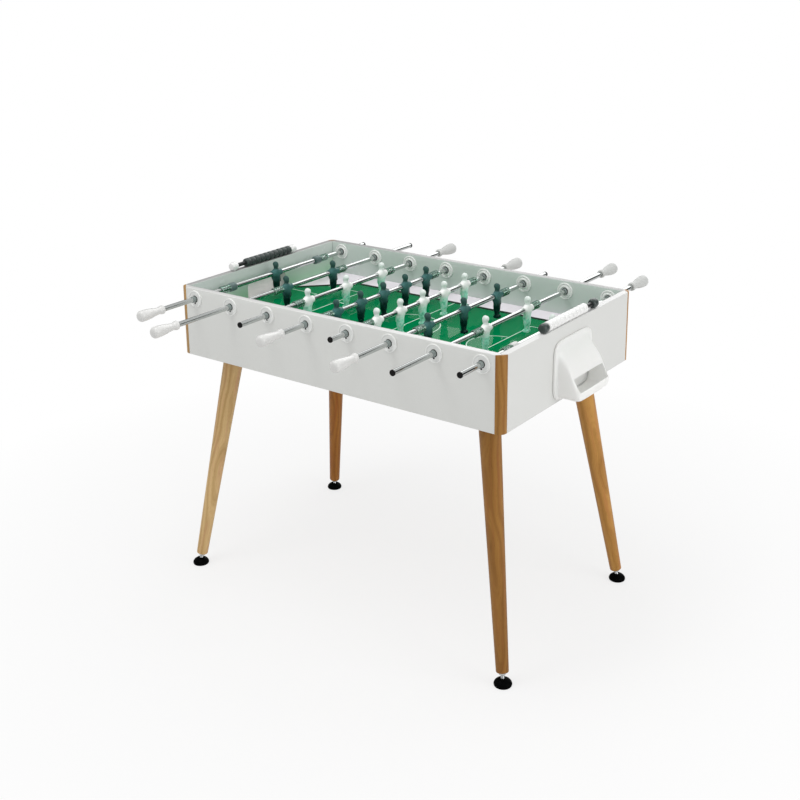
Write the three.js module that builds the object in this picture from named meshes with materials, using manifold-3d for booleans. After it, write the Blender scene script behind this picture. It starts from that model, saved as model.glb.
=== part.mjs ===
// A foosball table: white cabinet on four splayed beech legs, eight through rods with moulded players,
// abacus scorers on the end panels and a ball cup outside each goal.
// Millimetres, +Z up. X runs along the table, Y across it, the origin is on the floor under its middle.
import * as THREE from "three";
import { mergeVertices } from "three/addons/utils/BufferGeometryUtils.js";
import { ParametricGeometry } from "three/addons/geometries/ParametricGeometry.js";
import Module from "manifold-3d";

const wasm = await Module();
wasm.setup();

// ---------------------------------------------------------------- sizes

const GAP = 0.3; // between two pieces that touch
const ROUND_SIDES = 8; // facets round a turned piece, unless it has a number of its own

// cabinet
const LENGTH = 1070; // over the end panels
const WIDTH = 674; // over the side panels
const HEIGHT = 880; // floor to the top edge
const PANEL_H = 199;
const PANEL_T = 20;
const POST = 22; // side of the corner strip
const POST_ROUND = 13; // radius of its outer edge

// playing field
const FIELD_DROP = 104; // top edge down to the glass
const GLASS_T = 5;
const BOARD_T = 12;
const BORDER_W = 57; // raised strip along each side panel
const BORDER_RISE = 5;
const CORNER_CUT = 150; // leg of the raised corner triangle
const GOAL_W = 170;
const GOAL_H = 56;
const GOAL_ROUND = 14;

// rods and bushings
const ROD_COUNT = 8;
const ROD_R = 7;
const ROD_DROP = 29; // top edge down to the rod axis
const ROD_MARGIN = 38.5; // end panel to the first rod
const ROD_CLEARANCE = 0.1; // running clearance, radial
const BUSH_R = 24;
const BUSH_STEP_R = 15.5;
const BUSH_HUB_WALL = 1.9;
const BUSH_FLANGE = 4;
const BUSH_HUB_IN = 17; // hub past the panel, inside
const BUSH_HUB_OUT = 16; // and outside
const CAP_WALL = 0.8;
const CAP_L = 12;

// players, springs and stops
const MAN_REACH = 66; // rod axis down to the sole
const MAN_RISE = 37.5; // rod axis up to the crown
const MAN_HALF = 21; // half of the shoulder width
const SPRING_L = 36;
const SPRING_WIRE = 1.4;
const SPRING_TURNS = 5;
const SPRING_SIDES = 6; // straight steps in one turn
const BUFFER_L = 26; // buffer sleeve on a goalkeeper's rod
const BUFFER_R = 12.5;
const TRAVEL = { 1: 60, 2: 136, 3: 72, 5: 32 }; // slide each way, by players on the rod
const STOP_GAP = 1; // left between spring and bushing at the end of the slide
const ROD_STUB = 20; // free end past the bushing at full slide
const HANDLE_STANDOFF = 46; // handle past the bushing at full slide

// handles
const HANDLE_L = 87;
const HANDLE_R = 15.5;
const HANDLE_RING_R = 11.8;
const HANDLE_RING_L = 7;
const HANDLE_NECK_R = 9.5;
const HANDLE_WAIST = 0.3; // share of the length where the waist ends
const HANDLE_BULGE = 0.76; // and where the grip is widest
const HANDLE_BORE_L = 55;

// scorers
const KNOB_R = 12.5;
const KNOB_L = 24;
const SCORER_L = 260; // between the knob centres
const BAR_R = 4.5;
const BEAD_R = 12.5;
const BEAD_L = 20;
const BEAD_COUNT = 10;
const BEAD_SIDES = 8;
const BEAD_WAIST = 0.8; // share of the radius left between two beads
const KNOB_FOOT_R = 6;

// ball cups
const CUP_W = 198; // flange
const CUP_H = 160;
const CUP_ROUND = 28;
const CUP_FLANGE_T = 5;
const CUP_WALL = 3;
const CUP_OUT = 69; // flange back to the lip
const CUP_BODY_W = 166;
const CUP_LIFT = 6; // cabinet's lower edge up to the flange
const CUP_FOOT = 5; // flange's lower edge up to the tray's underside
const CUP_FLARE = 6; // hood's sides widen this much towards the flange
const CUP_BODY_ROUND = 18; // hood's upright edges
const CUP_WINDOW = [0.215, 0.415]; // share of the flange height, sill to top of the hand opening

// legs and feet
const LEG_TOP_R = 30.5;
const LEG_END_R = 16.5;
const LEG_END_Z = 34;
const LEG_CHAMFER = 3;
const FOOT_OUT_X = 3; // the leg axes meet the floor this far out from the end panels
const FOOT_IN_Y = 16; // and this far in from the side panels
const LEAN_X = 0.154; // how far a leg leans in, per unit of height
const LEAN_Y = 0.13;
const PAD_R = 24;
const PAD_H = 19;
const STEM_R = 5;
const STEM_IN = 26; // stem inside the leg
const NUT_R = 9.5;
const NUT_T = 6;
const LEG_SIDES = 16;
const PAD_SIDES = 12;

// ---------------------------------------------------------------- derived sizes

const END_X = LENGTH / 2;
const SIDE_Y = WIDTH / 2;
const INNER_X = END_X - PANEL_T;
const INNER_Y = SIDE_Y - PANEL_T;
const BASE_Z = HEIGHT - PANEL_H;
const FIELD_Z = HEIGHT - FIELD_DROP;
const ROD_Z = HEIGHT - ROD_DROP;
const ROD_PITCH = (2 * (INNER_X - ROD_MARGIN)) / (ROD_COUNT - 1);
const BORE_R = ROD_R + ROD_CLEARANCE;
const HUB_IN_Y = INNER_Y - BUSH_HUB_IN;
const HUB_OUT_Y = SIDE_Y + BUSH_HUB_OUT;
const SPRING_END_Y = HUB_IN_Y - STOP_GAP; // outer end of a spring at full slide
const MAN_LIMIT_Y = SPRING_END_Y - SPRING_L - GAP - MAN_HALF; // outermost player at full slide
const FOOT_X = END_X + FOOT_OUT_X;
const FOOT_Y = SIDE_Y - FOOT_IN_Y;

// ---------------------------------------------------------------- looks

const LOOKS = {
  laminate: { color: 0xe6e6e3, roughness: 0.45, metalness: 0 },
  beech: { color: 0xb98550, roughness: 0.5, metalness: 0 },
  board: { color: 0xcdb48c, roughness: 0.7, metalness: 0 },
  field: { color: 0x0a7d4c, roughness: 0.08, metalness: 0 },
  border: { color: 0xe9e4e6, roughness: 0.2, metalness: 0 },
  steel: { color: 0xc9cccd, roughness: 0.15, metalness: 1 },
  spring: { color: 0x6d7b85, roughness: 0.3, metalness: 1 },
  white: { color: 0xf1f1ef, roughness: 0.3, metalness: 0 },
  dark: { color: 0x4b5253, roughness: 0.4, metalness: 0 },
  black: { color: 0x16181a, roughness: 0.5, metalness: 0 },
};

const table = new THREE.Group();

function piece(name, look, geometry, x = 0, y = 0, z = 0) {
  const mesh = new THREE.Mesh(geometry, new THREE.MeshStandardMaterial(LOOKS[look]));
  mesh.name = name;
  mesh.position.set(x, y, z);
  table.add(mesh);
  return mesh;
}

// ---------------------------------------------------------------- solids

// A closed three.js geometry as a solid that can be joined and cut.
function solid(geometry) {
  const loose = geometry.index ? geometry.toNonIndexed() : geometry.clone();
  loose.deleteAttribute("normal");
  loose.deleteAttribute("uv");
  const merged = mergeVertices(loose, 1e-4);
  const index = merged.index.array;
  const kept = [];
  for (let i = 0; i < index.length; i += 3) {
    const [a, b, c] = index.slice(i, i + 3);
    if (a !== b && b !== c && c !== a) kept.push(a, b, c);
  }
  const mesh = new wasm.Mesh({
    numProp: 3,
    vertProperties: merged.attributes.position.array,
    triVerts: new Uint32Array(kept),
  });
  return new wasm.Manifold(mesh);
}

function geometryOf(made) {
  const mesh = made.getMesh();
  const geometry = new THREE.BufferGeometry();
  geometry.setAttribute("position", new THREE.BufferAttribute(mesh.vertProperties, 3));
  geometry.setIndex(new THREE.BufferAttribute(mesh.triVerts, 1));
  geometry.computeVertexNormals();
  return geometry;
}

const join = (first, ...others) => others.reduce((sum, one) => sum.add(one), first);
const cut = (first, ...others) => others.reduce((rest, one) => rest.subtract(one), first);

// Turned about the Y axis, from [radius, y] pairs in rising y.
function turned(profile, sides) {
  const points = profile.map(([r, y]) => new THREE.Vector2(r, y));
  return new THREE.LatheGeometry(points, sides);
}

// The same profile the other way round, when the piece points to -Y.
function facing(profile, side) {
  return side > 0 ? profile : profile.map(([r, y]) => [r, -y]).reverse();
}

function block(x0, x1, y0, y1, z0, z1) {
  const geometry = new THREE.BoxGeometry(x1 - x0, y1 - y0, z1 - z0);
  return geometry.translate((x0 + x1) / 2, (y0 + y1) / 2, (z0 + z1) / 2);
}

// A flat outline of [x, y] points, raised from z0 to z1.
function raised(outline, z0, z1) {
  const shape = new THREE.Shape(outline.map(([x, y]) => new THREE.Vector2(x, y)));
  const geometry = new THREE.ExtrudeGeometry(shape, { depth: z1 - z0, bevelEnabled: false });
  return geometry.translate(0, 0, z0);
}

function centreOf(ring) {
  const sum = ring.reduce((total, p) => total.add(p), new THREE.Vector3());
  return sum.divideScalar(ring.length);
}

// A skin through rings of points, bottom to top, closed over both end rings.
function loft(rings, summit = centreOf(rings[rings.length - 1])) {
  const first = rings[0];
  const rows = [first.map(() => centreOf(first)), ...rings, first.map(() => summit)];
  const sides = first.length;
  const place = (u, v, target) => {
    const ring = rows[Math.round(v * (rows.length - 1))];
    target.copy(ring[Math.round(u * sides) % sides]);
  };
  return new ParametricGeometry(place, sides, rows.length - 1);
}

// ---------------------------------------------------------------- cabinet

// Outline of one panel seen from above, with mitred ends behind the corner strips.
// long is half the cabinet along the panel, deep half of it across.
function panelOutline(long, deep) {
  const faceEnd = long - POST - GAP;
  const strip = POST / 2 + GAP;
  const slip = GAP; // keeps the mitre's two faces apart
  return [
    [-faceEnd, -deep],
    [faceEnd, -deep],
    [long - strip - slip, -deep + strip],
    [long - PANEL_T - slip, -deep + PANEL_T],
    [-long + PANEL_T + slip, -deep + PANEL_T],
    [-long + strip + slip, -deep + strip],
  ];
}

function bushing(x) {
  const step = BUSH_FLANGE * 0.6;
  const hub = BORE_R + BUSH_HUB_WALL;
  const profile = [
    [0, -HUB_OUT_Y],
    [hub, -HUB_OUT_Y],
    [hub, -SIDE_Y - BUSH_FLANGE],
    [BUSH_R, -SIDE_Y - BUSH_FLANGE + 1],
    [BUSH_R, -INNER_Y + step],
    [BUSH_STEP_R, -INNER_Y + BUSH_FLANGE],
    [hub, -INNER_Y + BUSH_FLANGE + step],
    [hub, -HUB_IN_Y],
    [0, -HUB_IN_Y],
  ];
  return turned(profile, ROUND_SIDES).translate(x, 0, ROD_Z);
}

function sidePanel() {
  const bore = BORE_R / Math.cos(Math.PI / ROUND_SIDES);
  const slab = solid(raised(panelOutline(END_X, SIDE_Y), BASE_Z, HEIGHT));
  const xs = Array.from({ length: ROD_COUNT }, (_, i) => rodX(i));
  const bushes = xs.map((x) => solid(bushing(x)));
  const through = [
    [0, -HUB_OUT_Y - 1],
    [bore, -HUB_OUT_Y - 1],
    [bore, -HUB_IN_Y + 1],
    [0, -HUB_IN_Y + 1],
  ];
  const bores = xs.map((x) => solid(turned(through, ROUND_SIDES).translate(x, 0, ROD_Z)));
  return cut(join(slab, ...bushes), ...bores);
}

function rodX(i) {
  return (i - (ROD_COUNT - 1) / 2) * ROD_PITCH;
}

// Goal mouth: flat sill, rounded upper corners, cut right through the end panel.
function goalMouth() {
  const sill = FIELD_Z - GAP;
  const shape = new THREE.Shape();
  shape.moveTo(-GOAL_W / 2, sill);
  shape.lineTo(GOAL_W / 2, sill);
  shape.lineTo(GOAL_W / 2, sill + GOAL_H - GOAL_ROUND);
  shape.absarc(GOAL_W / 2 - GOAL_ROUND, sill + GOAL_H - GOAL_ROUND, GOAL_ROUND, 0, Math.PI / 2);
  shape.absarc(-GOAL_W / 2 + GOAL_ROUND, sill + GOAL_H - GOAL_ROUND, GOAL_ROUND, Math.PI / 2, Math.PI);
  shape.closePath();
  const depth = PANEL_T + 4;
  const geometry = new THREE.ExtrudeGeometry(shape, { depth, curveSegments: 3, bevelEnabled: false });
  // the panel is drawn along X, so depth goes through it along Y
  return geometry.rotateX(Math.PI / 2).translate(0, -END_X + depth - 2, 0);
}

function endPanel() {
  const slab = solid(raised(panelOutline(SIDE_Y, END_X), BASE_Z, HEIGHT));
  return cut(slab, solid(goalMouth()));
}

const sideSolid = sidePanel();
const endSolid = endPanel();
piece("front_side_panel", "laminate", geometryOf(sideSolid));
piece("back_side_panel", "laminate", geometryOf(sideSolid)).rotation.z = Math.PI;
piece("right_end_panel", "laminate", geometryOf(endSolid)).rotation.z = Math.PI / 2;
piece("left_end_panel", "laminate", geometryOf(endSolid)).rotation.z = -Math.PI / 2;

function cornerStrip() {
  const shape = new THREE.Shape();
  shape.moveTo(-POST, 0);
  shape.lineTo(-POST_ROUND, 0);
  shape.absarc(-POST_ROUND, POST_ROUND, POST_ROUND, -Math.PI / 2, 0);
  shape.lineTo(0, POST);
  shape.closePath();
  return new THREE.ExtrudeGeometry(shape, { depth: PANEL_H, curveSegments: 5, bevelEnabled: false });
}

const CORNERS = [
  { name: "front_right", x: 1, y: -1, turn: 0 },
  { name: "back_right", x: 1, y: 1, turn: 1 },
  { name: "back_left", x: -1, y: 1, turn: 2 },
  { name: "front_left", x: -1, y: -1, turn: 3 },
];

for (const c of CORNERS) {
  const strip = piece("corner_post_" + c.name, "beech", cornerStrip(), c.x * END_X, c.y * SIDE_Y, BASE_Z);
  strip.rotation.z = (c.turn * Math.PI) / 2;
}

// ---------------------------------------------------------------- playing field

const boardX = INNER_X - GAP;
const boardY = INNER_Y - GAP;
const glassZ = FIELD_Z - GLASS_T;
const cutX = boardX - CORNER_CUT; // where the raised corners start along the sides
const fieldY = INNER_Y - BORDER_W; // and the glass ends across the table
const cutY = fieldY - CORNER_CUT;

const board = block(-boardX, boardX, -boardY, boardY, glassZ - GAP - BOARD_T, glassZ - GAP);
piece("pitch_board", "board", board);

const glassOutline = [
  [boardX, -cutY],
  [boardX, cutY],
  [cutX, fieldY],
  [-cutX, fieldY],
  [-boardX, cutY],
  [-boardX, -cutY],
  [-cutX, -fieldY],
  [cutX, -fieldY],
];
piece("pitch_glass", "field", raised(glassOutline, glassZ, FIELD_Z));

// Raised border along one side: a strip that rises to the panel and a triangle in each corner.
function borderRamp() {
  const inner = fieldY + GAP;
  const top = FIELD_Z + BORDER_RISE;
  const section = [
    [inner, glassZ],
    [boardY, glassZ],
    [boardY, top],
    [inner, FIELD_Z],
  ];
  const strip = raised(section, -boardX, boardX);
  strip.rotateX(Math.PI / 2).rotateZ(Math.PI / 2);
  const corners = [-1, 1].map((side) => {
    const ring = (rise) => [
      new THREE.Vector3(side * boardX, cutY + GAP * 1.5, rise ? FIELD_Z : glassZ),
      new THREE.Vector3(side * boardX, boardY, rise ? top : glassZ),
      new THREE.Vector3(side * (cutX + GAP / 2 - BORDER_W), boardY, rise ? FIELD_Z : glassZ),
    ];
    const order = side > 0 ? (r) => r : (r) => r.reverse();
    return solid(loft([order(ring(false)), order(ring(true))]));
  });
  return join(solid(strip), ...corners);
}

const ramp = borderRamp();
piece("back_border_ramp", "border", geometryOf(ramp));
piece("front_border_ramp", "border", geometryOf(ramp)).rotation.z = Math.PI;

// ---------------------------------------------------------------- rods

// Players by rod, left to right; a team's handles are all on its own side.
const ROWS = [
  { men: 1, team: "dark" },
  { men: 2, team: "dark" },
  { men: 3, team: "white" },
  { men: 5, team: "dark" },
  { men: 5, team: "white" },
  { men: 3, team: "dark" },
  { men: 2, team: "white" },
  { men: 1, team: "white" },
];

// Where the players stand along a rod that is in the middle of its slide.
function menAt(men) {
  const outer = MAN_LIMIT_Y - TRAVEL[men];
  if (men === 1) return [0];
  return Array.from({ length: men }, (_, i) => -outer + (2 * outer * i) / (men - 1));
}

// An eight-sided section of a player: height, half depth, half width and how square it is.
function slice([z, dx, dy, square]) {
  const quarter = [
    [1, square],
    [square, 1],
  ];
  const half = [...quarter, ...quarter.map(([a, b]) => [-b, a])];
  const all = [...half, ...half.map(([a, b]) => [-a, -b])];
  return all.map(([a, b]) => new THREE.Vector3(a * dx, b * dy, z));
}

// One player from the sole to the crown. The rod goes in through the flat sides of the chest.
function player() {
  const down = MAN_REACH;
  const up = MAN_RISE;
  const chest = ROD_R * 1.3;
  const sections = [
    [-down, 13, 11, 0.6],
    [-down * 0.76, 9, 9.5, 0.6],
    [-down * 0.35, 9.5, 12, 0.6],
    [-chest, 11, MAN_HALF * 0.9, 0.72],
    [chest, 10, MAN_HALF, 0.72],
    [up * 0.48, 4.5, 4.5, 0.5],
    [up * 0.62, 9, 8, 0.5],
    [up * 0.86, 9.5, 8.5, 0.5],
  ];
  return loft(sections.map(slice), new THREE.Vector3(0, 0, up));
}

function rod(men, side) {
  const free = HUB_OUT_Y + TRAVEL[men] + ROD_STUB;
  const gripStart = HUB_OUT_Y + TRAVEL[men] + HANDLE_STANDOFF;
  const gripEnd = gripStart + HANDLE_BORE_L - GAP;
  const capR = ROD_R + CAP_WALL;
  const profile = [
    [0, -free],
    [capR - 2, -free],
    [capR, -free + 2],
    [capR, -free + CAP_L],
    [ROD_R, -free + CAP_L],
    [ROD_R, gripEnd],
    [0, gripEnd],
  ];
  const bar = solid(turned(facing(profile, side), ROUND_SIDES));
  const body = solid(player());
  const figures = menAt(men).map((y) => body.translate([0, y, 0]));
  const buffers = men === 1 ? [-1, 1].map((end) => solid(buffer(end))) : [];
  return join(bar, ...figures, ...buffers);
}

// Barrel sleeve that stops a goalkeeper's rod.
function buffer(end) {
  const far = SPRING_END_Y - TRAVEL[1] - SPRING_L - GAP;
  const near = far - BUFFER_L;
  const profile = [
    [0, near],
    [BUFFER_R - 2, near],
    [BUFFER_R, near + 4],
    [BUFFER_R, far - 4],
    [BUFFER_R - 2, far],
    [0, far],
  ];
  return turned(facing(profile, end), ROUND_SIDES);
}

// Handle pushed on the rod's end: ring, waist and pear-shaped grip, bored for the rod.
function handle(side) {
  const bore = BORE_R / Math.cos(Math.PI / ROUND_SIDES);
  const profile = [
    [0, HANDLE_BORE_L],
    [bore, HANDLE_BORE_L],
    [bore, 0],
    [HANDLE_RING_R, 0],
    [HANDLE_RING_R, HANDLE_RING_L],
    [HANDLE_NECK_R, HANDLE_RING_L + 4],
    [HANDLE_NECK_R + 1, HANDLE_L * HANDLE_WAIST],
    [HANDLE_R, HANDLE_L * HANDLE_BULGE],
    [HANDLE_R * 0.75, HANDLE_L - 3],
    [0, HANDLE_L],
  ];
  return turned(facing(profile, side), ROUND_SIDES);
}

class Helix extends THREE.Curve {
  constructor(radius, y0, y1, turns) {
    super();
    Object.assign(this, { radius, y0, y1, turns });
  }

  getPoint(t, target = new THREE.Vector3()) {
    const angle = 2 * Math.PI * this.turns * t;
    const y = this.y0 + (this.y1 - this.y0) * t;
    return target.set(this.radius * Math.cos(angle), y, this.radius * Math.sin(angle));
  }
}

function spring(y0, y1) {
  // the wire clears the rod where its straight steps come nearest to it
  const radius = (BORE_R + GAP + SPRING_WIRE) / Math.cos(Math.PI / SPRING_SIDES);
  const path = new Helix(radius, y0 + SPRING_WIRE, y1 - SPRING_WIRE, SPRING_TURNS);
  const wire = new THREE.Shape();
  wire.setFromPoints(
    [0, 1, 2].map((i) => {
      const angle = (2 * Math.PI * i) / 3;
      return new THREE.Vector2(SPRING_WIRE * Math.cos(angle), SPRING_WIRE * Math.sin(angle));
    }),
  );
  return new THREE.ExtrudeGeometry(wire, {
    steps: SPRING_SIDES * SPRING_TURNS,
    extrudePath: path,
    bevelEnabled: false,
  });
}

ROWS.forEach(({ men, team }, i) => {
  const side = team === "dark" ? -1 : 1;
  const number = i + 1;
  const x = rodX(i);
  piece("rod_" + number, team === "dark" ? "dark" : "white", geometryOf(rod(men, side)), x, 0, ROD_Z);
  const grip = side * (HUB_OUT_Y + TRAVEL[men] + HANDLE_STANDOFF);
  piece("handle_" + number, "white", handle(side), x, grip, ROD_Z);
  const outer = SPRING_END_Y - TRAVEL[men];
  const inner = outer - SPRING_L;
  piece(`spring_${number}_front`, "spring", spring(-outer, -inner), x, 0, ROD_Z);
  piece(`spring_${number}_back`, "spring", spring(inner, outer), x, 0, ROD_Z);
});

// ---------------------------------------------------------------- scorers

const scorerZ = HEIGHT + KNOB_R + GAP;
const knobFace = (SCORER_L - KNOB_L) / 2;
const scorerX = END_X - PANEL_T / 2;

function scoreRail() {
  const half = (r, y) => [
    [r, y],
    [KNOB_R * 0.62, y],
    [KNOB_R, y + KNOB_L * 0.3],
    [KNOB_R, y + KNOB_L * 0.7],
    [KNOB_R * 0.62, y + KNOB_L],
    [0, y + KNOB_L],
  ];
  const right = half(BAR_R, knobFace);
  const left = right.map(([r, y]) => [r, -y]).reverse();
  const bar = solid(turned([...left, ...right], ROUND_SIDES));
  const feet = [-1, 1].map((side) => {
    const drop = KNOB_R / 2;
    const foot = new THREE.CylinderGeometry(KNOB_FOOT_R, KNOB_FOOT_R, drop, ROUND_SIDES);
    foot.rotateX(Math.PI / 2).translate(0, (side * SCORER_L) / 2, -KNOB_R + drop / 2);
    return solid(foot);
  });
  return geometryOf(join(bar, ...feet));
}

function beadRow() {
  const bore = (BAR_R + GAP) / Math.cos(Math.PI / BEAD_SIDES);
  const waist = BEAD_R * BEAD_WAIST;
  const outside = [[waist, 0]];
  for (let i = 0; i < BEAD_COUNT; i += 1) {
    const y = i * BEAD_L;
    outside.push([BEAD_R, y + BEAD_L * 0.3], [BEAD_R, y + BEAD_L * 0.7], [waist, y + BEAD_L]);
  }
  const end = BEAD_COUNT * BEAD_L;
  const profile = [...outside, [bore, end], [bore, 0], [waist, 0]];
  return turned(profile, BEAD_SIDES);
}

const beadRest = knobFace - GAP - BEAD_COUNT * BEAD_L;
for (const side of [-1, 1]) {
  const name = side < 0 ? "left" : "right";
  const x = side * scorerX;
  piece(name + "_score_rail", side < 0 ? "white" : "dark", scoreRail(), x, 0, scorerZ);
  // the right-hand beads rest at the front knob, the left-hand ones at the back knob
  const start = side < 0 ? beadRest : -knobFace + GAP;
  piece(name + "_score_beads", side < 0 ? "dark" : "white", beadRow(), x, start, scorerZ);
}

// ---------------------------------------------------------------- ball cups

// The cup is drawn with +X away from the panel and its flange's lower edge at z 0.
// Each section: share of the flange height, share of the outward reach.
const CUP_SECTIONS = [
  [CUP_FOOT / CUP_H, 0.88],
  [0.1, 1],
  [0.21, 1],
  [0.42, 0.69],
  [0.55, 0.57],
  [0.64, 0.48],
  [0.72, 0.33],
  [0.82, 0.2],
  [0.94, 0.08],
];

function cupRing(z, out, half, back) {
  const r = Math.min(CUP_BODY_ROUND, out * 0.7);
  const k = (1 - Math.SQRT1_2) * r; // in to the middle of a quarter round
  const points = [
    [back, -half - CUP_FLARE],
    [out - r, -half],
    [out - k, -half + k],
    [out, -half + r],
    [out, half - r],
    [out - k, half - k],
    [out - r, half],
    [back, half + CUP_FLARE],
  ];
  return points.map(([x, y]) => new THREE.Vector3(x, y, z));
}

function cup() {
  const half = CUP_BODY_W / 2;
  const inside = half - CUP_WALL;
  const shape = new THREE.Shape();
  const w = CUP_W / 2 - CUP_ROUND;
  shape.absarc(w, CUP_ROUND, CUP_ROUND, -Math.PI / 2, 0);
  shape.absarc(w, CUP_H - CUP_ROUND, CUP_ROUND, 0, Math.PI / 2);
  shape.absarc(-w, CUP_H - CUP_ROUND, CUP_ROUND, Math.PI / 2, Math.PI);
  shape.absarc(-w, CUP_ROUND, CUP_ROUND, Math.PI, 1.5 * Math.PI);
  shape.closePath();
  const plate = new THREE.ExtrudeGeometry(shape, {
    depth: CUP_FLANGE_T,
    curveSegments: 5,
    bevelEnabled: false,
  });
  // shape x becomes Y, shape y becomes Z, depth becomes X
  plate.rotateX(Math.PI / 2).rotateZ(Math.PI / 2);
  const outer = CUP_SECTIONS.map(([z, out]) => cupRing(z * CUP_H, out * CUP_OUT, half, 1));
  const inner = CUP_SECTIONS.map(([z, out], i) => {
    const ends = i === 0 ? CUP_WALL : i === CUP_SECTIONS.length - 1 ? -CUP_WALL : 0;
    return cupRing(z * CUP_H + ends, out * CUP_OUT - CUP_WALL, inside, CUP_WALL);
  });
  const [windowSill, windowTop] = CUP_WINDOW.map((share) => share * CUP_H);
  const jamb = half - 2 * CUP_WALL;
  const reachIn = block(CUP_OUT * 0.35, CUP_OUT + 5, -jamb, jamb, windowSill, windowTop);
  const sill = FIELD_Z - BASE_Z - CUP_LIFT - GAP;
  const throat = inside - 2;
  const fromGoal = block(-1, CUP_WALL + 1, -throat, throat, sill, sill + GOAL_H);
  return cut(join(solid(plate), solid(loft(outer))), solid(loft(inner)), solid(reachIn), solid(fromGoal));
}

const cupSolid = cup();
for (const side of [-1, 1]) {
  const name = side < 0 ? "left_ball_cup" : "right_ball_cup";
  const mesh = piece(name, "white", geometryOf(cupSolid), side * (END_X + GAP), 0, BASE_Z + CUP_LIFT);
  mesh.rotation.z = side < 0 ? Math.PI : 0;
}

// ---------------------------------------------------------------- legs and feet

const lean = Math.hypot(LEAN_X, LEAN_Y, 1);

// Places something drawn along +Y, from its lower end, on the leg's axis with that end at height z.
function onLeg(geometry, corner, z) {
  const up = new THREE.Vector3(-corner.x * LEAN_X, -corner.y * LEAN_Y, 1).normalize();
  const turn = new THREE.Quaternion().setFromUnitVectors(new THREE.Vector3(0, 1, 0), up);
  const x = corner.x * (FOOT_X - LEAN_X * z);
  const y = corner.y * (FOOT_Y - LEAN_Y * z);
  return geometry.applyQuaternion(turn).translate(x, y, z);
}

function leg(corner) {
  const ceiling = glassZ - 2 * GAP - BOARD_T;
  const length = (ceiling - LEG_END_Z) * lean;
  const run = length + LEG_TOP_R;
  const taper = (LEG_TOP_R - LEG_END_R) / length;
  const bore = (STEM_R + GAP) / Math.cos(Math.PI / ROUND_SIDES);
  const depth = STEM_IN + 4;
  const profile = [
    [0, depth],
    [bore, depth],
    [bore, 0],
    [LEG_END_R - LEG_CHAMFER, 0],
    [LEG_END_R, LEG_CHAMFER],
    [LEG_END_R + taper * run, run],
    [0, run],
  ];
  const bar = solid(onLeg(turned(profile, LEG_SIDES), corner, LEG_END_Z));
  const above = block(-END_X, END_X, -SIDE_Y, SIDE_Y, ceiling, HEIGHT);
  return geometryOf(cut(bar, solid(above)));
}

function foot(corner) {
  const pad = [
    [0, 0],
    [PAD_R - 2, 0],
    [PAD_R, PAD_H * 0.25],
    [PAD_R - 3, PAD_H * 0.6],
    [NUT_R, PAD_H],
    [0, PAD_H],
  ];
  const reach = (LEG_END_Z - PAD_H * 0.5) * lean;
  const stem = [
    [0, 0],
    [STEM_R, 0],
    [STEM_R, reach - GAP - NUT_T],
    [NUT_R, reach - GAP - NUT_T],
    [NUT_R, reach - GAP],
    [STEM_R, reach - GAP],
    [STEM_R, reach + STEM_IN],
    [0, reach + STEM_IN],
  ];
  // the pad lies flat, centred under the stem's lower end
  const base = turned(pad, PAD_SIDES).rotateX(Math.PI / 2);
  const x = corner.x * (FOOT_X - LEAN_X * PAD_H * 0.5);
  const y = corner.y * (FOOT_Y - LEAN_Y * PAD_H * 0.5);
  base.translate(x, y, 0);
  return geometryOf(join(solid(base), solid(onLeg(turned(stem, ROUND_SIDES), corner, PAD_H * 0.5))));
}

for (const c of CORNERS) {
  piece("leg_" + c.name, "beech", leg(c));
  piece("foot_" + c.name, "black", foot(c));
}

export default table;
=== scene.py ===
import math

import bmesh
import bpy
from bpy.props import FloatProperty, FloatVectorProperty, IntProperty, PointerProperty
from mathutils import Matrix, Vector


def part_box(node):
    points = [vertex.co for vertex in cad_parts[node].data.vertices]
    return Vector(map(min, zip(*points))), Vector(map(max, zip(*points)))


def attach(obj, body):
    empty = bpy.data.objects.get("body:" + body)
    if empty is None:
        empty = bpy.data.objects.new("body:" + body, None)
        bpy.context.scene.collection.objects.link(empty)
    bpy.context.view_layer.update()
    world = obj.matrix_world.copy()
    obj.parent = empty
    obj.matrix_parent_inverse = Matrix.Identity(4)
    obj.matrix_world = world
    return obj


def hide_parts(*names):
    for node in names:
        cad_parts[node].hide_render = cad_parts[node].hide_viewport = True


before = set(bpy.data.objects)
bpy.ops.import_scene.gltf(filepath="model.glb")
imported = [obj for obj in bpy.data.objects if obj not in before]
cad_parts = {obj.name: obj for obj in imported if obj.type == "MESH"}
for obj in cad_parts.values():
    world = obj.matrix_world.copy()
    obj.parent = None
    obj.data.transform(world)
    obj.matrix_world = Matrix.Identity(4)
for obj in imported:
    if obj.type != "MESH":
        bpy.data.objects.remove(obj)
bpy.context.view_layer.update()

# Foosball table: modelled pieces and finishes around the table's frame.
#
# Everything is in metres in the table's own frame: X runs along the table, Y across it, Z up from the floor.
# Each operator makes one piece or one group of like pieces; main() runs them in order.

bl_info = {
    "name": "Foosball table",
    "version": (1, 0, 0),
    "blender": (4, 5, 0),
    "location": "View3D > Sidebar > Foosball",
    "description": "Models the pieces of a foosball table and gives them their finishes",
    "category": "Object",
}

# ---------------------------------------------------------------- places taken from the frame

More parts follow.
